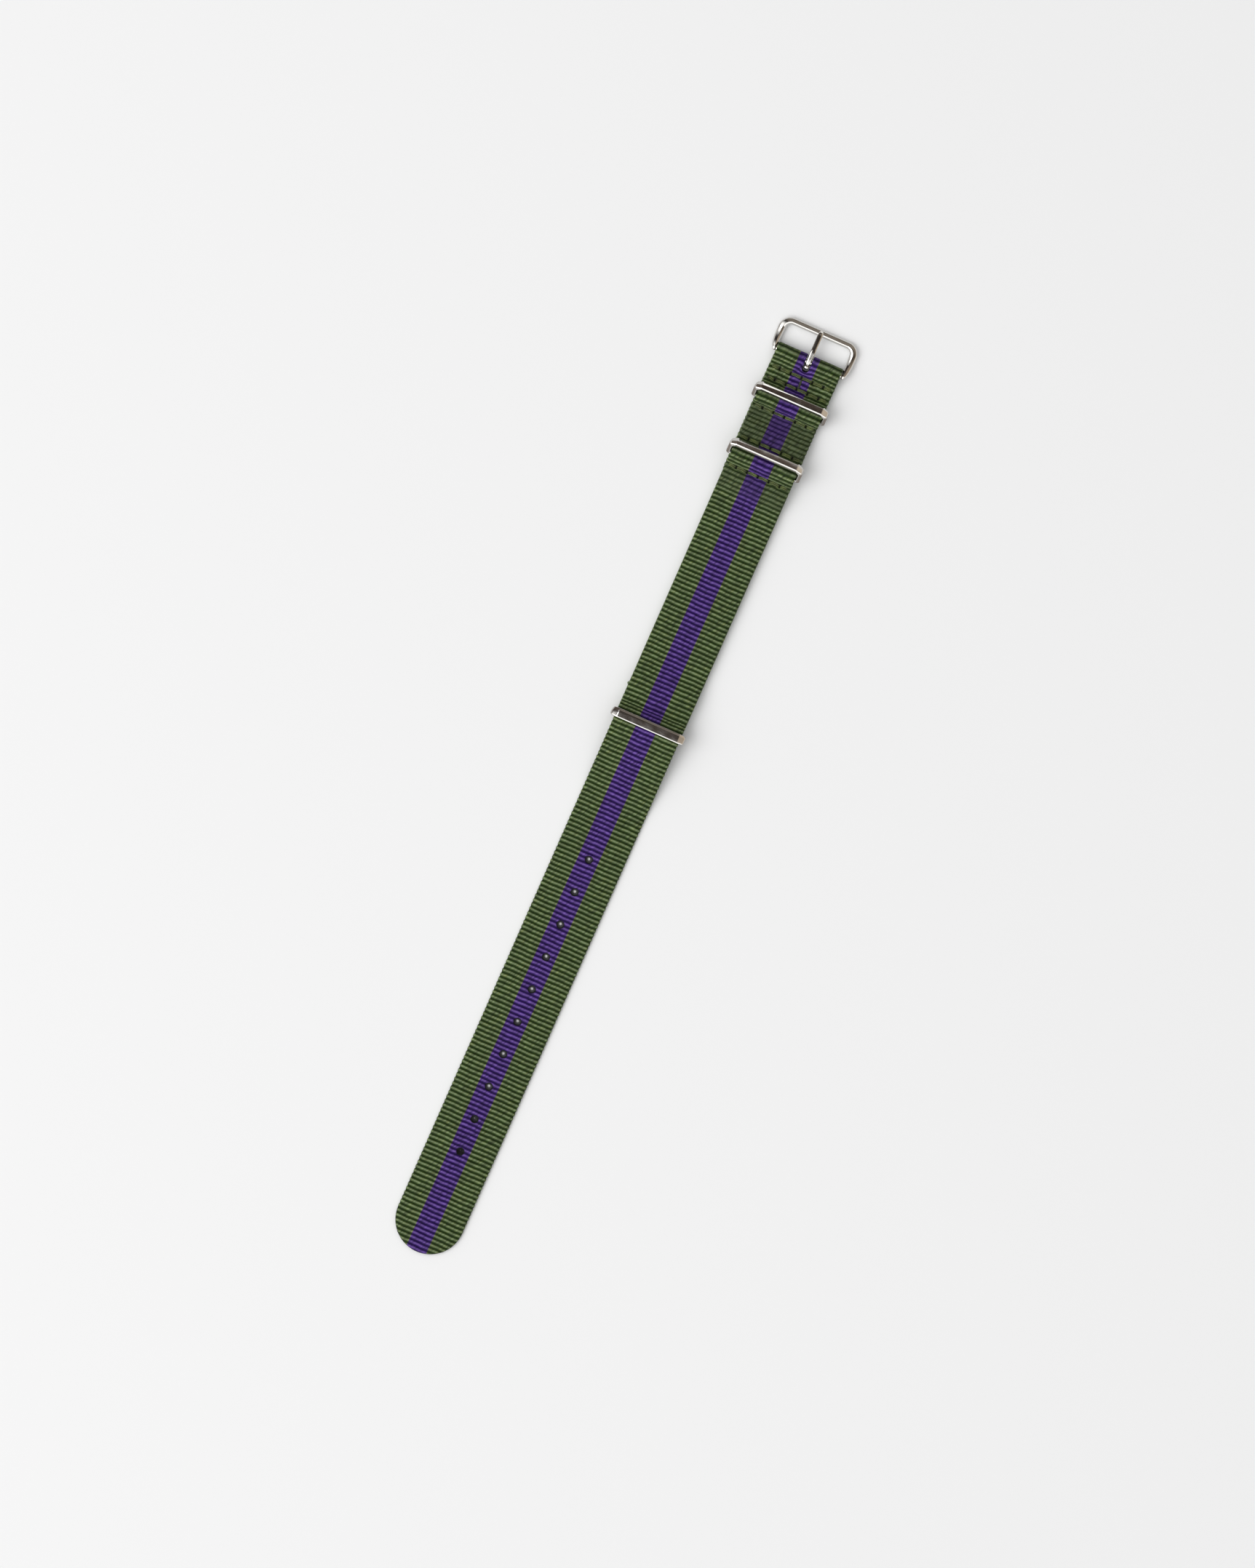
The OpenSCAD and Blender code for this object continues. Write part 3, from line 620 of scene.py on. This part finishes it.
def stitch_line(start, end, holes, top, up, side, spread):
    """Two strands side by side, from start to end: each sags into the needle holes by a bell curve, draws in
    to the hole's middle there, and turns down into the webbing at both ends. With each strand go its marks:
    the ply's wave, between 0.4 and 1, times one less a bell curve at each hole, which paints shade on the
    dives."""
    start, end, side = (np.array(v, float) for v in (start, end, side))
    length = np.linalg.norm(end - start)
    ahead = (end - start) / length
    u = np.linspace(0, length, int(length / 0.11))
    near = np.abs(u[:, None] - holes).min(1)
    dive = 0.95 * np.exp(-(near / 0.33) ** 2)
    drawn = 1 - 0.5 * np.exp(-(near / 0.45) ** 2)
    skew = 0.06 * np.sin(2 * np.pi * u / stitch_pitch)
    parts = []
    for hand in (-1, 1):
        route = start + u[:, None] * ahead + (hand * spread * drawn + skew)[:, None] * side
        route[:, 2] = top - up * (thread_r + dive)
        rings, ply = twisted(route, side)
        parts.append((rings, (0.7 + 0.3 * ply) * (1 - np.exp(-(near / 0.42) ** 2))[:, None]))
    return parts


def thread_piece(name, parts):
    """Joins strands into one mesh, with their marks kept for the material."""
    points, quads, fans, marks = [], [], [], []
    count = 0
    for rings, ply in parts:
        p, q, f = ringed(rings)
        points.append(p)
        quads.append(q + count)
        fans.append(f + count)
        marks.append(np.concatenate([ply.ravel(), [0, 0]]))
        count += len(p)
    marks = np.concatenate(marks)
    piece = skin(name + "_strands", np.vstack(points), np.vstack(quads), np.vstack(fans), ply=marks)
    fit(piece, polyester, "strap", name)


polyester = sewing_thread()
for row in ("seam_1", "seam_2", "seam_3", "seam_4", "seam_5", "flap_seam", "tack"):
    for kind, up in (("needle", 1), ("bobbin", -1)):
        node = f"{row}_{kind}_thread"
        low, high = box_of(node)
        x, y, _ = (low + high) / 2
        face = high[2] if up == 1 else low[2]
        if row == "tack":
            start, end = (x, low[1] - tack_reach, 0), (x, high[1] + tack_reach, 0)
            stops = np.array([-tack_reach, end[1] - start[1] + tack_reach])
            parts = stitch_line(start, end, stops, face + 0.02 * up, up, (1, 0, 0), tack_apart)
            # The tack's strands are painted darker, at 0.35 of their ply mark, as painted shade of its groove
            parts = [(rings, 0.35 * ply) for rings, ply in parts]
        else:
            start, end = (needle_xs[0], y, 0), (needle_xs[-1], y, 0)
            parts = stitch_line(start, end, needle_xs - start[0], face, up, (0, 1, 0), strand_apart)
        thread_piece(node, parts)

# Each keeper is a flat stainless band, bent into a closed ring, welded and polished all over. Its long edges
# are bevelled, and its bottom bar turns in a pocket of webbing.
band_half = 1.4
ring_out, ring_in = 11.4, 10.3
ring_top, ring_roof = 5.2, 4.0
ring_low = 0.6
journal_r = 1.25


def polished_steel(name, tint):
    """Stainless steel, stamped and tumbled bright: a near mirror with a faint cloudiness every 3 mm and hair
    scratches, 11 mm long and 0.7 mm apart. Where a piece is marked dull it is less of a mirror, and painted
    darker as painted shade."""
    material, tree = new_material(name)
    at = add(tree, "TexCoord").outputs["Object"]
    haze = add(tree, "TexNoise", {"Vector": at, "Scale": 0.35 / mm, "Detail": 4.0})
    gloss = add(tree, "MapRange", {0: haze, 1: 0.35, 2: 0.7, 3: 0.09, 4: 0.19})
    dull = add(tree, "Attribute", attribute_name="dull").outputs["Fac"]
    gloss = calc(tree, "MULTIPLY_ADD", dull, 0.2, gloss)
    bright, painted_shade_tint = linear(tint), linear("7F766D")
    colour = blend(tree, dull, bright, painted_shade_tint)
    stretched = add(tree, "Mapping", {0: at, 3: (0.09 / mm, 1.5 / mm, 1.5 / mm)})
    scratch = add(tree, "TexNoise", {"Vector": stretched, "Scale": 1.0, "Detail": 3.0})
    scratch = add(tree, "MapRange", {0: scratch, 1: 0.6, 2: 0.72, 3: 0.0, 4: 1.0})
    bump = add(tree, "Bump", {"Strength": 0.12, "Distance": 0.02 * mm, "Height": scratch})
    finish = {"Base Color": colour, "Metallic": 1.0, "Roughness": gloss, "Normal": bump}
    add(tree, "OutputMaterial", {"Surface": add(tree, "BsdfPrincipled", finish)})
    return material


def rounded(points, radii, arc=7):
    """A closed polygon with round corners: each corner gives way to an arc that touches both its sides. Its
    points lie between the two touching points, on a circle of the corner's radius, at even angles."""
    p = np.array(points, float)
    back = np.roll(p, 1, 0) - p
    ahead = np.roll(p, -1, 0) - p
    back /= np.linalg.norm(back, axis=1)[:, None]
    ahead /= np.linalg.norm(ahead, axis=1)[:, None]
    half = np.arccos(np.clip((back * ahead).sum(1), -1, 1)) / 2
    r = np.broadcast_to(radii, len(p))
    middle = back + ahead
    middle /= np.linalg.norm(middle, axis=1)[:, None]
    centre = p + middle * (r / np.sin(half))[:, None]
    start = p + back * (r / np.tan(half))[:, None] - centre
    end = p + ahead * (r / np.tan(half))[:, None] - centre
    sweep = np.pi - 2 * half
    t = np.linspace(0, 1, arc)[None, :, None]
    k = np.sin(sweep)[:, None, None]
    a = sweep[:, None, None]
    arcs = (np.sin((1 - t) * a) * start[:, None] + np.sin(t * a) * end[:, None]) / k
    return (centre[:, None] + arcs).reshape(-1, 2)


def keeper(name, bar, lean, bevel):
    """A band swept round a rectangle with sloping shoulders: each point lies between an inner and an outer
    outline by the section's depth, and across the band by the section's width. The section has a wide facet
    on the buckle's side, which narrows from left to right, and a bevel on the tail's side. The top falls off
    by a fifth of the bevel times the width squared, and the band is a fifth narrower at the ring's two ends.
    Its bottom bar is drawn in to a round section, and the ring leans about that bar's axis."""
    corner, drop = 2.1, 1.0
    outer = rounded([
        (-ring_out, -ring_low), (ring_out, -ring_low), (ring_out, ring_top - drop),
        (ring_out - corner, ring_top), (corner - ring_out, ring_top), (-ring_out, ring_top - drop),
    ], [0.6, 0.6, 0.9, 1.0, 1.0, 0.9], 10)
    inner = rounded([
        (-ring_in, ring_low), (ring_in, ring_low), (ring_in, ring_roof - 0.5),
        (ring_in - 0.5, ring_roof), (0.5 - ring_in, ring_roof), (-ring_in, ring_roof - 0.5),
    ], 0.2, 10)
    edge = band_half
    sections = []
    for facet in (0.85, 0.03):
        ridge = 1 - 0.15 * facet
        corners = [
            (edge, 0), (edge, ridge - 0.2), (edge - 0.6, ridge), (edge - 0.6 - facet, 1),
            (0.34 - edge, 1), (0.08 - edge, 1 - bevel), (-edge, 0.42), (-edge, 0),
        ]
        sections.append(rounded(corners, [0.1, 0.15, 0.15, facet, 0.2, 0.12, 0.12, 0.1], 8))

    # Each outline has 60 points, ten on a corner. Its straights are cut into twelve, and so get 11 more each
    straights = np.arange(10, 61, 10)[:, None] - np.linspace(1, 0, 13)[1:-1]
    at = np.sort(np.append(np.arange(60), straights))
    outer, inner = (
        np.stack([np.interp(at, np.arange(61), np.append(side, side[0])) for side in line.T], 1)
        for line in (outer, inner)
    )
    share = np.clip((outer[:, :1] + ring_out) / 14, 0, 1)
    width = sections[0][:, 0] * (1 - share) + sections[1][:, 0] * share
    depth = sections[0][:, 1] * (1 - share) + sections[1][:, 1] * share
    depth = depth * (1 - 0.2 * bevel * (width / edge) ** 2)
    ring = inner[:, None] + (outer - inner)[:, None] * depth[..., None]
    across, height = ring[..., 0], ring[..., 1]
    wide = width * (1 - 0.2 * np.clip((np.abs(across) - 9.4) / 2, 0, 1) ** 2)
    bottom = (height <= ring_low + 0.01) & (np.abs(across) < ring_in - 0.05)
    pull = np.where(bottom, np.minimum(1, journal_r / np.maximum(np.hypot(wide, height), 1e-9)), 1)
    wide, height = wide * pull, height * pull
    a = math.radians(lean)
    y = bar[0] + wide * math.cos(a) + height * math.sin(a)
    z = bar[1] - wide * math.sin(a) + height * math.cos(a)
    # The ring's sides below its top are marked dull: rougher, and painted darker as painted shade
    dull = np.clip((np.abs(across) - ring_in) / 0.5, 0, 1) * np.clip((ring_top - 0.8 - height) / 0.8, 0, 1)
    points, quads, _ = ringed(np.stack([across, y, z], -1), loop=True)
    fit(skin(name + "_band", points, quads, dull=dull), keeper_steel, name, name)


keeper_steel = polished_steel("tumbled_stainless_steel_band", "C9C7C3")
keeper("front_keeper", front_bar, 30, 0.24)
keeper("middle_keeper", middle_bar, 35, 0.24)
keeper("flap_keeper", flap_bar, 0, 0.1)

# The buckle's frame is a stainless bar, cast and polished, with a long facet outside and a short one inside.
# Its arms sweep in and thin out to the ends, which are drilled for the pin. It leans down on the pin until
# the front bar lies on the table.
arm_x = 11.19
reach = 8.95
wire_r = 0.97
front_bend = 2.6
frame_inside = 10.22
frame_lean = math.degrees(math.asin((pin[1] - wire_r) / reach))


def buckle_frame():
    """Half of the bar's route runs up an arm, round a corner and along the front to the middle, and the other
    half mirrors it. The arm's outer side closes in as the 3.8th power of the way back, its inner side as
    the square of the way ahead, and its middle sags by a squared sine. The section has a long outer facet,
    a ridge and a short inner facet, with all its corners rounded, and its ridge lies further in on the
    front than on the arms. The ends close in an ellipse."""
    straight = reach - front_bend
    y = np.concatenate([-0.9 * np.cos(np.linspace(0, np.pi / 2, 10)), np.linspace(0, straight, 40)[1:]])
    outside = arm_x + wire_r - 0.00069 * (straight - y) ** 3.78
    inside = frame_inside - 0.14 - 0.16 * np.clip((y - 2.8) / (straight - 2.8), 0, 1) ** 2
    corner_x = (outside[-1] + inside[-1]) / 2 - front_bend
    arm = np.stack([(outside + inside) / 2, y], 1)
    corner = bend((corner_x, straight), front_bend, 0, 90)[1:]
    bar = np.stack([np.linspace(corner_x, 0, 30), np.full(30, reach)], 1)[1:]
    right = np.vstack([arm, corner, bar])
    wide = np.full(len(right), wire_r)
    wide[:len(y)] = (outside - inside) / 2
    wide[len(y):len(y) + len(corner)] = np.linspace(wide[len(y) - 1], wire_r, len(corner))
    high = wire_r - 0.1 * np.clip(1 - right[:, 1] / 4, 0, 1)
    sag = 0.45 * np.sin(np.pi * np.clip(right[:, 1] / reach, 0, 1)) ** 2
    ear = np.sqrt(np.clip(1 - (np.clip(-right[:, 1], 0, 0.9) / 0.9) ** 2, 0.0004, 1))
    high *= ear
    wide *= ear ** 0.4
    route = np.vstack([right, (right * [-1, 1])[-2::-1]])
    wide, high, sag = (np.concatenate([v, v[-2::-1]]) for v in (wide, high, sag))
    ahead = np.gradient(route, axis=0)
    ahead /= np.linalg.norm(ahead, axis=1)[:, None]
    out = np.stack([ahead[:, 1], -ahead[:, 0]], 1)
    sections = []
    for ridge, shoulder in ((-0.12, -0.62), (-0.38, -0.76)):
        corners = [
            (1, -0.45), (1, 0.32), (0.62, 0.74), (ridge, 1), (shoulder, 0.8), (-1, 0.25),
            (-1, -0.4), (-0.5, -1), (0.5, -1),
        ]
        sections.append(rounded(corners, [0.35, 0.25, 0.25, 0.2, 0.25, 0.3, 0.35, 0.4, 0.4], 7))
    fore = np.clip((route[:, 1:] - straight) / front_bend, 0, 1)[..., None]
    section = sections[0] * (1 - fore) + sections[1] * fore
    u = section[..., 0] * wide[:, None]
    v = section[..., 1] * high[:, None] - sag[:, None]
    x = route[:, :1] + u * out[:, :1]
    y = route[:, 1:] + u * out[:, 1:]
    a = math.radians(frame_lean)
    along = pin[0] + y * math.cos(a) + v * math.sin(a)
    height = pin[1] - y * math.sin(a) + v * math.cos(a)
    return skin("buckle_frame_bar", *ringed(np.stack([x, along, height], -1)))


buckle_steel = polished_steel("polished_stainless_steel_bar", "CCCAC6")
fit(buckle_frame(), buckle_steel, "buckle", "buckle_frame")

# The pin is a short length of round stainless bar, pressed into the drilled ends of the frame. The webbing's
# fold and the tongue go round it.
pin_r = 0.9


def buckle_pin():
    """A rod between the frame's ends: rings of one radius, smaller at its rounded rims."""
    end = frame_inside - 0.04
    x = np.array([-end, 0.08 - end, 0.25 - end, end - 0.25, end - 0.08, end])
    r = pin_r - np.array([0.18, 0.04, 0, 0, 0.04, 0.18])[:, None]
    t = np.linspace(0, 2 * np.pi, 48, endpoint=False)[None]
    rod = np.stack([np.repeat(x[:, None], 48, 1), pin[0] + r * np.cos(t), pin[1] + r * np.sin(t)], -1)
    return skin("buckle_pin_rod", *ringed(rod))


fit(buckle_pin(), buckle_steel, "buckle", "buckle_pin")

# The tongue is a stainless bar curled round the pin into an eye, with a round ball at its heel. Its arm
# slopes down from a bend, and its domed tip rests on the front bar.
tongue_half = 0.81
back_z = 2.05
ball_r = 0.78
ball_y = -1.67
bend_at = 3.1
tip_y = 9.45


def tongue():
    """The arm is a superellipse carried from the heel over the pin to the tip: a ball whose radius goes as a
    sine, then half width, half depth, height and power from a table along the length, then a tip that closes
    as the 0.6th power of a cosine. The eye is a rounded section carried round the pin."""
    turn = np.radians(np.linspace(0, 148, 20))
    ball = np.stack([
        ball_y - ball_r * np.cos(turn), ball_r * np.sin(turn) + 0.001, ball_r * np.sin(turn) + 0.001,
        np.full(20, back_z - ball_r), np.full(20, 2.0),
    ], 1)
    close = np.cos(np.linspace(0, np.pi / 2, 14)) + 0.001
    near_tip = np.sin(np.linspace(0, np.pi / 2, 14))
    bar_top = 2 - reach * math.sin(math.radians(frame_lean))
    table = np.array([
        (-1.0, 0.5, 0.42, 1.24, 2.0),
        (-0.8, 0.6, 0.5, 1.3, 2.4),
        (-0.5, 0.64, 0.53, 1.32, 2.8),
        (1.0, 0.7, 0.53, back_z - 0.65, 3.0),
        (bend_at - 0.3, tongue_half, 0.53, back_z - 0.53, 3.0),
        (bend_at + 0.1, tongue_half, 0.53, back_z - 0.555, 3.0),
        (bend_at + 0.5, 0.79, 0.52, back_z - 0.62, 2.4),
        (tip_y - 1.5, 0.78, 0.43, bar_top - 0.43 + 0.14, 2.2),
    ])
    rising = np.linspace(table[3, 0], table[4, 0], 8)
    falling = np.linspace(table[6, 0], table[7, 0], 24)
    at = np.unique(np.round(np.concatenate([table[:, 0], rising, falling]), 4))
    middle = np.stack([at] + [np.interp(at, table[:, 0], column) for column in table[:, 1:].T], 1)
    last = table[-1]
    tip = np.stack([
        last[0] + 1.5 * near_tip, last[1] * close ** 0.6, last[2] * close ** 0.6,
        last[3] - 0.3 * near_tip - 0.42 * near_tip ** 2, np.full(14, 2.2),
    ], 1)[1:]
    y, half, deep, z, power = np.vstack([ball, middle, tip]).T[..., None]
    heading = np.arctan2(np.gradient(z[:, 0]), np.gradient(y[:, 0]))[:, None]
    heading = np.where(y < -0.5, 0, heading)
    t = np.linspace(0, 2 * np.pi, 36, endpoint=False)[None]
    r = 1 / (np.abs(np.cos(t)) ** power + np.abs(np.sin(t)) ** power) ** (1 / power)
    wide = r * np.cos(t) * half
    high = r * np.sin(t) * deep
    along = pin[0] + y - high * np.sin(heading)
    arm = ringed(np.stack([wide, along, pin[1] + z + high * np.cos(heading)], -1))
    a = np.linspace(0, 2 * np.pi, 64, endpoint=False)[:, None]
    section = rounded([(-0.62, 0.96), (0.62, 0.96), (0.62, 1.78), (-0.62, 1.78)], 0.25, 6)
    eye = np.stack([
        np.broadcast_to(section[:, 0], (64, len(section))),
        pin[0] + section[:, 1] * np.cos(a),
        pin[1] + section[:, 1] * np.sin(a),
    ], -1)
    eye = ringed(eye, loop=True)
    points = np.vstack([arm[0], eye[0]])
    return skin("buckle_tongue_arm", points, np.vstack([arm[1], eye[1] + len(arm[0])]), arm[2])


fit(tongue(), buckle_steel, "tongue", "buckle_tongue")

# The strap lies on a table of pale, matt card, lit by the room and, from the photograph's left, by a large
# soft box. The camera stands 3 m above it with a long lens, so it looks straight down on every part.
shot_turn = math.radians(23.8)
shot_centre = (0.00133, 0.00277)
shot_height = 0.4492
camera_up = 3.0


def table():
    """A flat square, 16 m wide and a hundredth of a millimetre under the strap. The card is off-white, with
    hardly any gloss, so it keeps the strap's shadow and shows nothing else."""
    half, z = 8.0, -0.01 * mm
    corners = [(-half, -half, z), (half, -half, z), (half, half, z), (-half, half, z)]
    mesh = bpy.data.meshes.new("table_top")
    mesh.from_pydata(corners, [], [(0, 1, 2, 3)])
    piece = bpy.data.objects.new("table_top", mesh)
    bpy.context.scene.collection.objects.link(piece)
    material, tree = new_material("matt_pale_card")
    finish = {"Base Color": linear("F5F5F5"), "Roughness": 0.9, "Specular IOR Level": 0.1}
    add(tree, "OutputMaterial", {"Surface": add(tree, "BsdfPrincipled", finish)})
    mesh.materials.append(material)


def soft_box(name, toward, up, away, size, power):
    """An area light that faces the strap: toward is its direction from the strap in degrees from +X, up its
    height in degrees, away its distance, and size its width and height, both in metres."""
    light = bpy.data.lights.new(name, "AREA")
    light.shape = "RECTANGLE"
    light.size, light.size_y = size
    light.energy = power
    lamp = bpy.data.objects.new(name, light)
    toward, up = math.radians(toward), math.radians(up)
    lamp.location = [
        away * math.cos(up) * math.cos(toward), away * math.cos(up) * math.sin(toward), away * math.sin(up)
    ]
    lamp.rotation_euler = (math.pi / 2 - up, 0, toward + math.pi / 2)
    bpy.context.scene.collection.objects.link(lamp)


def room():
    """The world: matt surfaces get a soft light that grows towards the zenith and towards the photograph's
    left. The camera and polished steel see a dark studio with a pale horizon, beige on the strap's right, a
    grey glow high up ahead, and three bright panels: one high on its left, one towards its tail and a low one
    straight ahead. Each panel's edge is a band of directions over which its share goes from 0 to 1."""
    world = bpy.data.worlds.new("studio")
    bpy.context.scene.world = world
    world.use_nodes = True
    tree = world.node_tree
    tree.nodes.clear()
    way = add(tree, "SeparateXYZ", {0: add(tree, "TexCoord").outputs["Generated"]})
    across, ahead, rise = way.outputs
    wall = [(0.02, "F1F0EE"), (0.07, "7A6E66"), (0.3, "6B5F57"), (0.5, "4A3F39"), (0.72, "1F1A17")]
    wall = add(tree, "ValToRGB", {0: rise}, wall + [(1.0, "4A413B")])
    warm = [(0.02, "F1F0EE"), (0.08, "E8D8C2"), (0.6, "C9B8A4"), (0.84, "453B33"), (1.0, "4A413B")]
    warm = add(tree, "ValToRGB", {0: rise}, warm)
    right = add(tree, "MapRange", {0: across, 1: 0.05, 2: 0.5})
    sky = blend(tree, right, wall, warm)
    fore = add(tree, "MapRange", {0: ahead, 1: 0.5, 2: 0.64, 4: 0.7})
    steep = add(tree, "MapRange", {0: rise, 1: 0.58, 2: 0.68})
    fore = calc(tree, "MULTIPLY", fore, steep)
    sky = blend(tree, fore, sky, linear("A99F94"))
    left = add(tree, "MapRange", {0: across, 1: -0.15, 2: -0.3})
    wide = add(tree, "MapRange", {0: across, 1: -0.76, 2: -0.68})
    left = calc(tree, "MULTIPLY", left, wide)
    behind = add(tree, "MapRange", {0: ahead, 1: 0.42, 2: 0.22})
    high = add(tree, "MapRange", {0: rise, 1: 0.3, 2: 0.45})
    left_panel = calc(tree, "MULTIPLY", left, behind)
    left_panel = calc(tree, "MULTIPLY", left_panel, high)
    tail_panel = add(tree, "MapRange", {0: ahead, 1: -0.06, 2: -0.18})
    above = add(tree, "MapRange", {0: rise, 1: 0.1, 2: 0.18})
    tail_panel = calc(tree, "MULTIPLY", tail_panel, above)
    far = add(tree, "MapRange", {0: ahead, 1: 0.9, 2: 0.95})
    low = add(tree, "MapRange", {0: rise, 1: 0.3, 2: 0.2})
    front_panel = calc(tree, "MULTIPLY", far, low)
    panel = calc(tree, "MAXIMUM", left_panel, tail_panel)
    panel = calc(tree, "MAXIMUM", panel, front_panel)
    sky = blend(tree, panel, sky, linear("FFFFFF"))
    rays = add(tree, "LightPath").outputs
    mirrored = calc(tree, "MULTIPLY", rays["Is Glossy Ray"], panel)
    power = calc(tree, "MULTIPLY_ADD", mirrored, 0.7, 1.0)
    seen = calc(tree, "MAXIMUM", rays["Is Camera Ray"], rays["Is Glossy Ray"])
    seen = calc(tree, "MAXIMUM", seen, rays["Is Transmission Ray"])
    matt = add(tree, "ValToRGB", {0: rise}, [(0.0, "5A5A5A"), (1.0, "FFFFFF")])
    away = calc(tree, "MULTIPLY", across, math.cos(shot_turn))
    away = calc(tree, "MULTIPLY_ADD", ahead, math.sin(shot_turn), away)
    side = add(tree, "MapRange", {0: away, 1: -0.7, 2: 0.7, 3: 1.35, 4: 0.6})
    side = add(tree, "CombineColor", {0: side, 1: side, 2: side})
    matt = blend(tree, 1.0, matt, side, "MULTIPLY")
    shown = blend(tree, seen, matt, sky)
    glow = add(tree, "Background", {"Color": shown, "Strength": power})
    add(tree, "OutputWorld", {"Surface": glow})


table()
room()
photo_left = 180 + math.degrees(shot_turn)
soft_box("key_soft_box", photo_left + 12, 48, 2.4, (2.2, 1.8), 27.0)

camera = bpy.data.objects.new("camera", bpy.data.cameras.new("camera"))
camera.data.sensor_fit = "VERTICAL"
camera.data.sensor_height = 36
camera.data.lens = 36 * camera_up / shot_height
camera.data.clip_start = 0.01
camera.location = (*shot_centre, camera_up)
camera.rotation_euler = (0, 0, shot_turn)
bpy.context.scene.collection.objects.link(camera)
bpy.context.scene.camera = camera
bpy.context.scene.view_settings.view_transform = "Standard"
